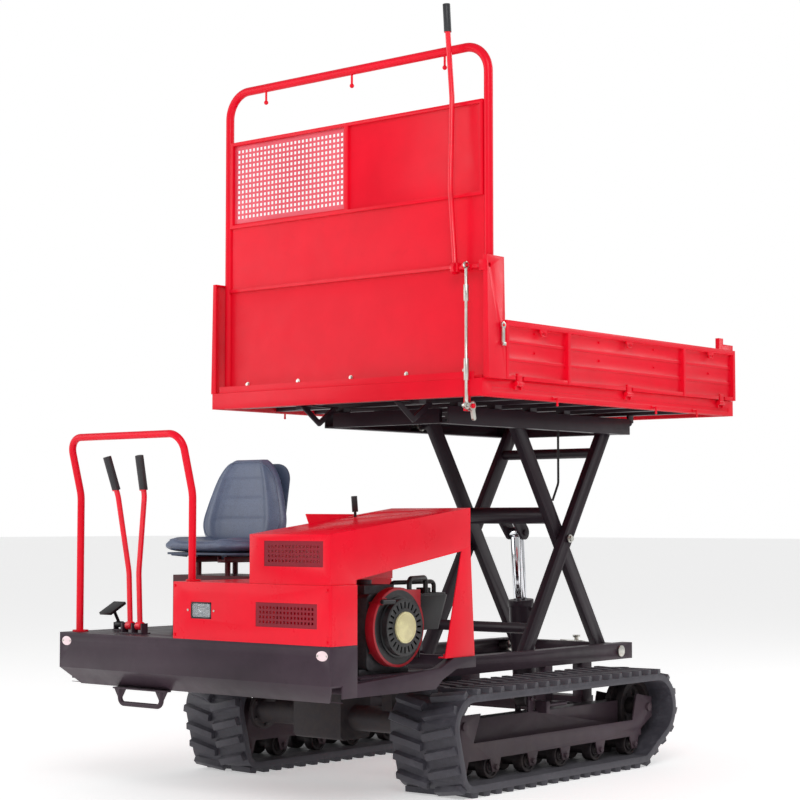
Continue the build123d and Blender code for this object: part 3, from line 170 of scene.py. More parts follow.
class Graph(Wiring):
    """Wiring of one material."""

    def __init__(self, name: str) -> None:
        """Starts an empty material.

        Args:
            name: material name.
        """
        self.material = bpy.data.materials.new(name)
        self.material.use_nodes = True
        super().__init__(self.material.node_tree)
        self.tree.nodes.clear()
        self.out = self.node("ShaderNodeOutputMaterial")
        self.coords = self.node("ShaderNodeTexCoord")

    def place(self, scale: Point = (1.0, 1.0, 1.0)) -> Socket:
        """Object coordinates through a mapping node.

        Args:
            scale: stretch of the texture along each axis.
        Returns:
            The vector socket.
        """
        mapping = self.node("ShaderNodeMapping", in_Scale=scale)
        self.link(self.coords.outputs["Object"], mapping.inputs["Vector"])
        return mapping.outputs["Vector"]

    def noise(self, scale: float, detail: float = 3.0, rough: float = 0.55,
              stretch: Point = (1, 1, 1)) -> Socket:
        """Noise texture in object coordinates.

        Args:
            scale, detail, rough: the texture's own settings.
            stretch: stretch along each axis.
        Returns:
            The factor socket.
        """
        tex = self.node("ShaderNodeTexNoise", in_Scale=scale, in_Detail=detail, in_Roughness=rough)
        self.link(self.place(stretch), tex.inputs["Vector"])
        return tex.outputs["Fac"]

    def ramp(self, fac: Socket, low: float, high: float, a: float = 0.0, b: float = 1.0) -> Socket:
        """Clamped linear map.

        Args:
            fac: factor socket.
            low, high: values of the factor at the two ends.
            a, b: results at the two ends.
        Returns:
            The result socket.
        """
        made = self.node("ShaderNodeMapRange", clamp=True, in_From_Min=low, in_From_Max=high,
                         in_To_Min=a, in_To_Max=b)
        self.link(fac, made.inputs["Value"])
        return made.outputs["Result"]

    def mix(self, fac: Value, a: Union[Colour, Socket], b: Union[Colour, Socket]) -> Socket:
        """Colour mix.

        Args:
            fac: share of the second colour.
            a, b: sockets or colours.
        Returns:
            The result socket.
        """
        made = self.node("ShaderNodeMix", data_type="RGBA")
        if isinstance(fac, (int, float)):
            made.inputs[0].default_value = fac
        else:
            self.link(fac, made.inputs[0])
        for i, v in ((6, a), (7, b)):
            if isinstance(v, tuple):
                made.inputs[i].default_value = (*v, 1.0)
            else:
                self.link(v, made.inputs[i])
        return made.outputs[2]

    def axes(self) -> Sequence[Socket]:
        """Splits the object coordinates.

        Returns:
            Sockets for x, y and height above the ground.
        """
        split = self.node("ShaderNodeSeparateXYZ")
        self.link(self.coords.outputs["Object"], split.inputs[0])
        return split.outputs

    def bump(self, fac: Socket, distance: float, strength: float,
             normal: Optional[Socket] = None) -> Socket:
        """Bump from a height socket.

        Args:
            fac: height socket.
            distance, strength: the bump's own settings.
            normal: normal that it adds to.
        Returns:
            The normal socket.
        """
        made = self.node("ShaderNodeBump", in_Distance=distance, in_Strength=strength)
        self.link(fac, made.inputs["Height"])
        if normal is not None:
            self.link(normal, made.inputs["Normal"])
        return made.outputs["Normal"]

    def shader(self, **values: object) -> bpy.types.Node:
        """Principled shader.

        Args:
            values: plain values for its own sockets.
        Returns:
            The node.
        """
        made = self.node("ShaderNodeBsdfPrincipled")
        for key, value in values.items():
            made.inputs[key.replace("_", " ")].default_value = value
        return made

    def finish(self, shader: bpy.types.Node, **sockets: Socket) -> Material:
        """Joins sockets to the shader's inputs of those names, and the shader to the output.

        Args:
            shader: the shader node.
            sockets: what feeds each input.
        Returns:
            The material.
        """
        for key, socket in sockets.items():
            self.link(socket, shader.inputs[key.replace("_", " ")])
        self.link(shader.outputs[0], self.out.inputs["Surface"])
        return self.material


@dataclass(frozen=True)
class PaintFinish:
    """Sprayed enamel with orange peel, faint mottling and dust low down."""
    name: str
    colour: Colour
    deep: Colour
    roughness: float = 0.3
    coat: float = 0.5
    dust: float = 0.25
    dust_low: float = 0.0
    dust_high: float = 0.7
    peel: float = 0.06
    gloss: float = 0.16

    def build(self) -> Material:
        """Draws the finish.

        Returns:
            Its material.
        """
        g = Graph(self.name)
        mottle = g.ramp(g.noise(2.2, 5.0, 0.6), 0.35, 0.7)
        base = g.mix(mottle, self.colour, self.deep)
        grime = g.ramp(g.noise(26.0, 8.0, 0.7), 0.55, 0.72, 0.0, 0.35)
        base = g.mix(grime, base, self.deep)
        low = g.ramp(g.axes()[2], self.dust_low, self.dust_high, self.dust, 0.0)
        film = g.math("MULTIPLY", low, g.ramp(g.noise(9.0, 6.0, 0.65), 0.3, 0.75))
        base = g.mix(film, base, linear(150, 128, 110))
        bsdf = g.shader(Coat_Weight=self.coat, Coat_Roughness=0.12, Specular_IOR_Level=self.gloss)
        rough = g.ramp(g.noise(14.0, 6.0, 0.6), 0.3, 0.75, self.roughness - 0.06, self.roughness + 0.1)
        rough = g.math("ADD", rough, g.math("MULTIPLY", film, 0.6))
        normal = g.bump(g.noise(420.0, 2.0, 0.5), 0.0006, self.peel)
        normal = g.bump(g.noise(6.0, 2.0, 0.5), 0.004, 0.06, normal)
        return g.finish(bsdf, Base_Color=base, Roughness=rough, Normal=normal)


@dataclass(frozen=True)
class RubberFinish:
    """Moulded black rubber with scuffs and dry dust."""
    name: str
    colour: Colour
    dusty: Colour
    roughness: float = 0.55

    def build(self) -> Material:
        """Draws the finish.

        Returns:
            Its material.
        """
        g = Graph(self.name)
        scuff = g.ramp(g.noise(38.0, 8.0, 0.7), 0.42, 0.7)
        broad = g.ramp(g.noise(5.0, 4.0, 0.6), 0.35, 0.7)
        base = g.mix(g.math("MULTIPLY", scuff, broad), self.colour, self.dusty)
        bsdf = g.shader(Specular_IOR_Level=0.4, Sheen_Weight=0.08)
        rough = g.ramp(scuff, 0.0, 1.0, self.roughness - 0.12, self.roughness + 0.15)
        normal = g.bump(g.noise(160.0, 5.0, 0.65), 0.0012, 0.25)
        normal = g.bump(g.noise(22.0, 3.0, 0.5), 0.002, 0.12, normal)
        return g.finish(bsdf, Base_Color=base, Roughness=rough, Normal=normal)


@dataclass(frozen=True)
class MetalFinish:
    """Bare or plated metal: fine brushing, tarnish blotches and small pits."""
    name: str
    colour: Colour
    tarnish: Colour
    roughness: float = 0.3
    metallic: float = 1.0
    amount: float = 0.5
    grain: float = 0.12
    stretch: Point = (1.0, 1.0, 1.0)

    def build(self) -> Material:
        """Draws the finish.

        Returns:
            Its material.
        """
        g = Graph(self.name)
        blotch = g.ramp(g.noise(30.0, 6.0, 0.65), 0.4, 0.72, 0.0, self.amount)
        base = g.mix(blotch, self.colour, self.tarnish)
        fine = g.noise(260.0, 4.0, 0.6, self.stretch)
        rough = g.math("ADD", g.ramp(fine, 0.3, 0.7, self.roughness - 0.05, self.roughness + 0.07),
                       g.math("MULTIPLY", blotch, 0.25))
        normal = g.bump(fine, 0.0006, self.grain)
        return g.finish(g.shader(Metallic=self.metallic), Base_Color=base, Roughness=rough, Normal=normal)


@dataclass(frozen=True)
class PlasticFinish:
    """Moulded plastic with a fine leather grain."""
    name: str
    colour: Colour
    worn: Colour
    roughness: float = 0.42
    grain: float = 0.18

    def build(self) -> Material:
        """Draws the finish.

        Returns:
            Its material.
        """
        g = Graph(self.name)
        cell = g.node("ShaderNodeTexVoronoi", in_Scale=520.0)
        g.link(g.place(), cell.inputs["Vector"])
        worn = g.ramp(g.noise(18.0, 6.0, 0.65), 0.5, 0.75, 0.0, 0.6)
        base = g.mix(worn, self.colour, self.worn)
        rough = g.ramp(worn, 0.0, 0.6, self.roughness, self.roughness + 0.15)
        normal = g.bump(cell.outputs["Distance"], 0.0004, self.grain)
        return g.finish(g.shader(Specular_IOR_Level=0.45), Base_Color=base, Roughness=rough, Normal=normal)


@dataclass(frozen=True)
class VinylFinish:
    """Seat vinyl: pebbled grain, paler where it is rubbed, soft broad creases."""
    name: str
    colour: Colour
    rubbed: Colour
    shade: Colour

    def build(self) -> Material:
        """Draws the finish.

        Returns:
            Its material.
        """
        g = Graph(self.name)
        cell = g.node("ShaderNodeTexVoronoi", in_Scale=330.0)
        g.link(g.place(), cell.inputs["Vector"])
        worn = g.ramp(g.noise(7.0, 5.0, 0.6), 0.4, 0.7)
        base = g.mix(worn, self.colour, self.rubbed)
        base = g.mix(g.ramp(cell.outputs["Distance"], 0.35, 0.75, 0.0, 0.45), base, self.shade)
        bsdf = g.shader(Coat_Weight=0.12, Coat_Roughness=0.35, Specular_IOR_Level=0.5)
        normal = g.bump(cell.outputs["Distance"], 0.0007, 0.3)
        normal = g.bump(g.noise(12.0, 4.0, 0.6), 0.003, 0.18, normal)
        return g.finish(bsdf, Base_Color=base, Roughness=g.ramp(worn, 0.0, 1.0, 0.36, 0.5), Normal=normal)


@dataclass(frozen=True)
class GlassFinish:
    """Ribbed clear lamp lens."""
    name: str
    tint: Colour

    def build(self) -> Material:
        """Draws the finish.

        Returns:
            Its material.
        """
        g = Graph(self.name)
        ribs = g.node("ShaderNodeTexWave", wave_type="BANDS", bands_direction="X", in_Scale=38.0)
        g.link(g.place(), ribs.inputs["Vector"])
        bsdf = g.shader(Transmission_Weight=0.75, IOR=1.49, Coat_Weight=0.3)
        haze = g.ramp(g.noise(40.0, 4.0), 0.3, 0.8)
        return g.finish(bsdf, Base_Color=g.mix(haze, self.tint, linear(250, 250, 252)),
                        Roughness=g.ramp(haze, 0.0, 1.0, 0.04, 0.16),
                        Normal=g.bump(ribs.outputs["Fac"], 0.002, 0.5))


class Region(Enum):
    """How the second finish of a two-part piece is told from the first."""
    ABOVE = "above"
    DISC_X = "disc_x"


@dataclass(frozen=True)
class SplitFinish:
    """A piece with two finishes, such as a painted lever with a moulded grip.

    The border is a height, or a disc round an axis along X.
    """
    name: str
    first: Colour
    second: Colour
    region: Region
    border: float
    centre: Tuple[float, float] = (0.0, 0.0)
    side: float = 0.0
    rough: Tuple[float, float] = (0.28, 0.55)
    metal: float = 0.0

    def build(self) -> Material:
        """Draws the finish.

        Returns:
            Its material.
        """
        g = Graph(self.name)
        x, y, z = g.axes()
        if self.region is Region.ABOVE:
            where = g.math("GREATER_THAN", z, self.border)
        else:
            dy = g.math("SUBTRACT", y, self.centre[0])
            dz = g.math("SUBTRACT", z, self.centre[1])
            far = g.math("SQRT", g.math("ADD", g.math("MULTIPLY", dy, dy), g.math("MULTIPLY", dz, dz)))
            near = g.math("LESS_THAN", far, self.border)
            where = g.math("MULTIPLY", near, g.math("GREATER_THAN", x, self.side))
        fleck = g.ramp(g.noise(24.0, 6.0, 0.65), 0.45, 0.75, 0.0, 0.5)
        dark = tuple(c * 0.6 for c in self.first)
        pale = tuple(min(1.0, c * 1.7 + 0.02) for c in self.second)
        base = g.mix(where, g.mix(fleck, self.first, dark), g.mix(fleck, self.second, pale))
        rough = g.math("ADD", g.ramp(where, 0.0, 1.0, *self.rough), g.math("MULTIPLY", fleck, 0.15))
        knurl = g.node("ShaderNodeTexWave", wave_type="BANDS", bands_direction="Z", in_Scale=60.0)
        g.link(g.place(), knurl.inputs["Vector"])
        ridge = g.math("MULTIPLY", knurl.outputs["Fac"], where)
        normal = g.bump(g.math("ADD", ridge, g.noise(300.0)), 0.0008, 0.25)
        return g.finish(g.shader(Coat_Weight=0.15), Base_Color=base, Roughness=rough, Normal=normal,
                        Metallic=g.math("MULTIPLY", where, self.metal))


RED = linear(240, 10, 42)
RED_DEEP = linear(222, 8, 36)
PLUM = linear(66, 52, 62)
PLUM_DEEP = linear(44, 34, 42)
BLACK = linear(24, 24, 27)
LEVER_BLACK = linear(34, 34, 38)


def finishes() -> Looks:
    """Builds every finish once.

    Returns:
        Materials by finish name.
    """
    made = [
        PaintFinish("red_enamel", RED, RED_DEEP, 0.3, 0.06, 0.04, 0.3, 1.2),
        PaintFinish("bed_enamel", RED, RED_DEEP, 0.34, 0.05, 0.02, 1.3, 1.6),
        PaintFinish("plum_enamel", PLUM, PLUM_DEEP, 0.4, 0.1, 0.1, 0.05, 0.5),
        # plum_high is the chassis plum darkened for the parts under the bed: the darkening is painted
        # shade
        PaintFinish("plum_high", PLUM_DEEP, linear(36, 28, 34), 0.4, 0.1, 0.0, 0.05, 0.6),
        PaintFinish("grille_enamel", linear(140, 18, 38), linear(104, 12, 28), 0.4, 0.3, 0.05),
        PaintFinish("mesh_enamel", linear(236, 92, 108), linear(214, 58, 78), 0.35, 0.3, 0.0),
        PaintFinish("maroon_enamel", linear(96, 26, 38), linear(64, 16, 26), 0.42, 0.2, 0.1, 0.5, 0.9),
        RubberFinish("track_rubber", linear(56, 54, 62), linear(84, 82, 90), 0.55),
        RubberFinish("hose_rubber", linear(22, 22, 24), linear(48, 48, 50), 0.45),
        MetalFinish("zinc_plate", linear(214, 214, 208), linear(158, 150, 132), 0.28),
        MetalFinish("chrome_rod", linear(226, 228, 232), linear(176, 178, 182), 0.07, 1.0, 0.15, 0.02,
                    (1, 1, 0.1)),
        MetalFinish("cast_iron", linear(44, 38, 42), linear(74, 64, 60), 0.55, 0.25, 0.5, 0.35),
        MetalFinish("engine_alloy", linear(92, 92, 96), linear(52, 50, 50), 0.42, 0.75, 0.6, 0.3),
        PlasticFinish("black_plastic", BLACK, linear(58, 58, 62)),
        PlasticFinish("seat_back_plastic", linear(62, 74, 96), linear(86, 98, 120), 0.45, 0.25),
        PlasticFinish("reflector_plastic", linear(246, 222, 226), linear(232, 190, 198), 0.18, 0.05),
        VinylFinish("seat_vinyl", linear(84, 96, 122), linear(104, 116, 142), linear(56, 66, 86)),
        GlassFinish("lamp_glass", linear(226, 236, 242)),
        SplitFinish("steering_finish", RED, LEVER_BLACK, Region.ABOVE, 1.1027),
        SplitFinish("bed_lever_finish", RED, LEVER_BLACK, Region.ABOVE, 2.8105),
        # the fan shroud's deeper red is painted shade over the covers' red; the dark disc is the recoil
        # cover's own black
        SplitFinish("shroud_finish", linear(168, 22, 36), linear(26, 24, 27), Region.DISC_X, 0.129,
                    (-0.874, 0.620), 0.55, (0.35, 0.45)),
        SplitFinish("recoil_finish", linear(26, 26, 28), linear(206, 196, 150), Region.DISC_X, 0.0542,
                    (-0.874, 0.620), 0.6312, (0.4, 0.3), 0.3),
    ]
    return {f.name: f.build() for f in made}


# finish, softened edge width, and the CAD nodes that take them
FINISH_GROUPS: Tuple[Tuple[str, float, str], ...] = (
    ("plum_enamel", 0.0012, "base_rails frame_beams track_frames"),
    ("plum_enamel", 0.0015, "front_bumper"),
    ("plum_enamel", 0.001, "floor_plate"),
    ("reflector_plastic", 0.0008, "bumper_reflectors"),
    ("plum_enamel", 0.0008, "boarding_step"),
    ("track_rubber", 0.003, "track_belts"),
    ("cast_iron", 0.002,
     "drive_gearbox carrier_rollers track_rollers_1 track_rollers_2 track_rollers_3 "
     "track_rollers_4 track_rollers_5 track_rollers_6"),
    ("cast_iron", 0.0015, "track_sprockets track_idlers"),
    ("engine_alloy", 0.0012, "engine_block"),
    ("shroud_finish", 0.0015, "fan_shroud"),
    ("recoil_finish", 0.0006, "recoil_cover"),
    ("black_plastic", 0.0008, "recoil_handle"),
    ("black_plastic", 0.002, "air_cleaner"),
    ("hose_rubber", 0.0, "engine_hoses lift_cable"),
    ("red_enamel", 0.0014, "lower_cover"),
    ("red_enamel", 0.0018, "upper_cover"),
    ("grille_enamel", 0.0, "cover_grilles"),
    ("mesh_enamel", 0.0, "gate_mesh"),
    ("black_plastic", 0.001, "headlamp_bezel shift_lever"),
    ("lamp_glass", 0.0008, "headlamp_lens"),
    ("red_enamel", 0.0, "guard_bar"),
    ("steering_finish", 0.0012, "steering_lever_left steering_lever_right"),
    ("black_plastic", 0.0015, "foot_pedal"),
    ("maroon_enamel", 0.0012, "seat_stand"),
    ("seat_back_plastic", 0.0012, "seat_shell"),
    # the parts under the bed take the plum with painted shade
    ("plum_high", 0.002, "lift_arms_inner lift_arms_outer cylinder_barrel"),
    ("zinc_plate", 0.001, "lower_lift_rollers upper_lift_rollers chassis_pins"),
    ("chrome_rod", 0.001, "cylinder_rod"),
    ("plum_high", 0.0012, "upper_frame"),
    ("bed_enamel", 0.0015, "bed_floor front_gate"),
    ("plum_high", 0.001, "bed_crossmembers"),
    ("bed_enamel", 0.0, "gate_hoop"),
    ("bed_enamel", 0.0018, "side_gate_left side_gate_right rear_gate"),
    ("bed_enamel", 0.0008, "bed_hardware"),
    ("zinc_plate", 0.0008, "post_latch_left post_latch_right"),
    ("bed_lever_finish", 0.0006, "control_lever"),
    ("zinc_plate", 0.0005, "control_rod"),
    ("zinc_plate", 0.0006, "bell_crank"),
)
NODE_FINISH: Dict[str, Tuple[str, float]] = {
    node: (finish, width) for finish, width, nodes in FINISH_GROUPS for node in nodes.split()}


# ------------------------------------------------------------------ mesh helpers

def link_object(name: str, mesh: bpy.types.Mesh) -> Piece:
    """Puts a mesh in the scene, untransformed.

    Args:
        name: object name.
        mesh: its mesh.
    Returns:
        The object.
    """
    obj = bpy.data.objects.new(name, mesh)
    bpy.context.scene.collection.objects.link(obj)
    return obj


def baked(obj: Piece) -> Piece:
    """Swaps an object's mesh for its evaluated one and drops its modifiers.

    Args:
        obj: object with live modifiers.
    Returns:
        The same object.
    """
    graph = bpy.context.evaluated_depsgraph_get()
    mesh = bpy.data.meshes.new_from_object(obj.evaluated_get(graph))
    obj.modifiers.clear()
    obj.data = mesh
    return obj


def smooth_by_angle(mesh: bpy.types.Mesh, degrees: float = 32.0) -> None:
    """Smooth shading, broken at sharp edges.

    Args:
        mesh: mesh to shade.
        degrees: angle past which an edge is sharp.
    """
    mesh.polygons.foreach_set("use_smooth", [True] * len(mesh.polygons))
    mesh.set_sharp_from_angle(angle=math.radians(degrees))
    mesh.update()


def merged_copy(node: str, name: str) -> Piece:
    """Copies a CAD node with its split corners welded and flat areas made whole.

    Args:
        node: CAD node name.
        name: name of the copy.
    Returns:
        The copy, at the origin.
    """
    source = frame["nodes"][node]
    bm = bmesh.new()
    bm.from_mesh(source.data)
    bmesh.ops.remove_doubles(bm, verts=bm.verts, dist=WELD)
    bmesh.ops.dissolve_limit(bm, angle_limit=math.radians(FLAT_DEGREES), verts=bm.verts, edges=bm.edges)
    mesh = bpy.data.meshes.new(name)
    bm.to_mesh(mesh)
    bm.free()
    return link_object(name, mesh)


def soften(node: str, material: Material, width: float, body: str) -> Piece:
    """Stands a softened copy in for a CAD node.

    Args:
        node: CAD node name.
        material: its finish.
        width: edge width in metres, 0 for none.
        body: body it rides on.
    Returns:
        The new piece.
    """
    obj = merged_copy(node, f"{node}_skin")
    if width > 0:
        mod = obj.modifiers.new("edges", "BEVEL")
        mod.width = width
        mod.segments = 2
        mod.limit_method = "ANGLE"
        mod.angle_limit = math.radians(EDGE_DEGREES)
        mod.use_clamp_overlap = True
        baked(obj)
    obj.data.materials.clear()
    obj.data.materials.append(material)
    smooth_by_angle(obj.data)
    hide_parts(node)
    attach(obj, body)
    return obj


def new_group(name: str, inputs: Sequence[Tuple[str, str, object]]) -> bpy.types.NodeTree:
    """Starts a Geometry Nodes group with one geometry output.

    Args:
        name: group name.
        inputs: label, socket type and default of each input.
    Returns:
        The group.
    """
    tree = bpy.data.node_groups.new(name, "GeometryNodeTree")
    tree.interface.new_socket("Geometry", in_out="INPUT", socket_type="NodeSocketGeometry")
    for label, kind, default in inputs:
        socket = tree.interface.new_socket(label, in_out="INPUT", socket_type=kind)
        if default is not None:
            socket.default_value = default
    tree.interface.new_socket("Geometry", in_out="OUTPUT", socket_type="NodeSocketGeometry")
    return tree


class Scatter:
    """Puts one fitting at many points with a Geometry Nodes group, then makes it plain mesh."""

    def __init__(self) -> None:
        """Builds the bolt group once."""
        self.bolt = self._bolt_group()

    def _ends(self, g: Wiring) -> Tuple[bpy.types.Node, bpy.types.Node]:
        """Ends a group in Realize Instances and Set Material.

        Args:
            g: group with a Finish input.
        Returns:
            The group's input node and its Realize Instances node.
        """
        source, out = g.node("NodeGroupInput"), g.node("NodeGroupOutput")
        realize = g.node("GeometryNodeRealizeInstances")
        paint = g.node("GeometryNodeSetMaterial")
        g.link(realize.outputs[0], paint.inputs["Geometry"])
        g.link(source.outputs["Finish"], paint.inputs["Material"])
        g.link(paint.outputs[0], out.inputs[0])
        return source, realize

    def _disc(self, g: Wiring, radius: Socket, sides: int, wide: float, thick: float,
              lift: float) -> Socket:
        """A flat prism, sized in shares of the bolt's radius.

        Args:
            g: group it goes in.
            radius: radius socket of the bolt.
            sides: sides of the prism.
            wide, thick, lift: its radius, thickness and height of its middle.
        Returns:
            The geometry socket.
        """
        disc = g.node("GeometryNodeMeshCylinder", in_Vertices=sides)
        shift = g.node("ShaderNodeCombineXYZ")
        for share, socket in ((wide, disc.inputs["Radius"]), (thick, disc.inputs["Depth"]),
                              (lift, shift.inputs["Z"])):
            g.link(g.math("MULTIPLY", radius, share), socket)
        move = g.node("GeometryNodeTransform")
        g.link(disc.outputs["Mesh"], move.inputs["Geometry"])
        g.link(shift.outputs[0], move.inputs["Translation"])
        return move.outputs[0]

    def _bolt_group(self) -> bpy.types.NodeTree:
        """Group that puts washer, hexagon and stud end at each point, each turned at random.

        Returns:
            The group.
        """
        sizes = [("Radius", "NodeSocketFloat", 0.006), ("Facing", "NodeSocketVector", None)]
        sizes += [("Seed", "NodeSocketInt", SEED), ("Finish", "NodeSocketMaterial", None)]
        g = Wiring(new_group("BoltHeads", sizes))
        source, realize = self._ends(g)
        join = g.node("GeometryNodeJoinGeometry")
        washer, head, stud = (24, 1.35, 0.28, 0.14), (6, 1.0, 0.7, 0.6), (16, 0.78, 0.2, 1.0)
        for part in (washer, head, stud):
            g.link(self._disc(g, source.outputs["Radius"], *part), join.inputs[0])
        spin = g.node("FunctionNodeRandomValue", data_type="FLOAT", in_Max=math.tau)
        g.link(source.outputs["Seed"], spin.inputs["Seed"])
        turn = g.node("ShaderNodeCombineXYZ")
        g.link(next(s for s in spin.outputs if s.enabled), turn.inputs["Z"])
        put = g.node("GeometryNodeInstanceOnPoints")
        g.link(source.outputs["Geometry"], put.inputs["Points"])
        g.link(join.outputs[0], put.inputs["Instance"])
        g.link(source.outputs["Facing"], put.inputs["Rotation"])
        rotate = g.node("GeometryNodeRotateInstances", in_Local_Space=True)
        g.link(put.outputs[0], rotate.inputs["Instances"])
        g.link(turn.outputs[0], rotate.inputs["Rotation"])
        g.link(rotate.outputs[0], realize.inputs[0])
        return g.tree

    def _run(self, tree: bpy.types.NodeTree, name: str, points: Sequence[Point], body: str,
             values: Dict[str, object]) -> Piece:
        """Runs a group on a cloud of points and keeps the plain mesh.

        Args:
            tree: the group.
            name: piece name.
            points: places of the fittings.
            body: body they ride on.
            values: the group's inputs by name.
        Returns:
            The piece.
        """
        mesh = bpy.data.meshes.new(name)
        mesh.from_pydata([tuple(p) for p in points], [], [])
        obj = link_object(name, mesh)
        mod = obj.modifiers.new("fittings", "NODES")
        mod.node_group = tree
        for item in tree.interface.items_tree:
            if item.item_type == "SOCKET" and item.in_out == "INPUT" and item.name in values:
                mod[item.identifier] = values[item.name]
        obj.update_tag()
        baked(obj)
        smooth_by_angle(obj.data)
        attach(obj, body)
        log.info("%s: %d points, %d faces", name, len(points), len(obj.data.polygons))
        return obj

    def bolts(self, name: str, points: Sequence[Point], facing: Facing, radius: float, body: str,
              material: Material) -> Piece:
        """Hexagon bolt heads with washers.

        Args:
            name: piece name.
            points: seat of each washer.
            facing: way the heads point.
            radius: across-corners radius of the hexagon.
            body: body they ride on.
            material: their finish.
        Returns:
            The piece.
        """
        return self._run(self.bolt, name, points, body,
                         {"Radius": radius, "Facing": facing.value, "Seed": SEED, "Finish": material})


def both_sides(points: Iterable[Point]) -> List[Point]:
    """The points and their mirror images across the centre plane."""
    found = list(points)
    return found + [(-x, y, z) for x, y, z in found]


def tube_mesh(name: str, path: Sequence[Point], radius: float, closed: bool,
              sides: int = 8) -> bpy.types.Mesh:
    """A round tube swept along a smooth path.

    Args:
        name: mesh name.
        path: points of the route.
        radius: tube radius.
        closed: whether the path is a loop.
        sides: sides of the tube.
    Returns:
        The mesh.
    """
    curve = bpy.data.curves.new(name, "CURVE")
    curve.dimensions = "3D"
    curve.bevel_depth = radius
    curve.bevel_resolution = max(1, sides // 4)
    curve.use_fill_caps = True
    spline = curve.splines.new("POLY")
    spline.points.add(len(path) - 1)
    for point, place in zip(spline.points, path):
        point.co = (*place, 1.0)
    spline.use_cyclic_u = closed
    holder = bpy.data.objects.new(name, curve)
    bpy.context.scene.collection.objects.link(holder)
    graph = bpy.context.evaluated_depsgraph_get()
    mesh = bpy.data.meshes.new_from_object(holder.evaluated_get(graph))
    bpy.data.objects.remove(holder)
    bpy.data.curves.remove(curve)
    return mesh


@dataclass(frozen=True)
class Frame3:
    """A flat frame of reference: a middle, a way across, a way along and the outward way."""
    middle: Point
    across: Point
    along: Point

    def place(self, x: float, y: float, z: float) -> Vector:
        """Point in the machine's frame.

        Args:
            x, y, z: distance across, along and outward.
        Returns:
            The point.
        """
        right = Vector(self.across).normalized()
        up = Vector(self.along).normalized()
        return Vector(self.middle) + right * x + up * y + right.cross(up) * z


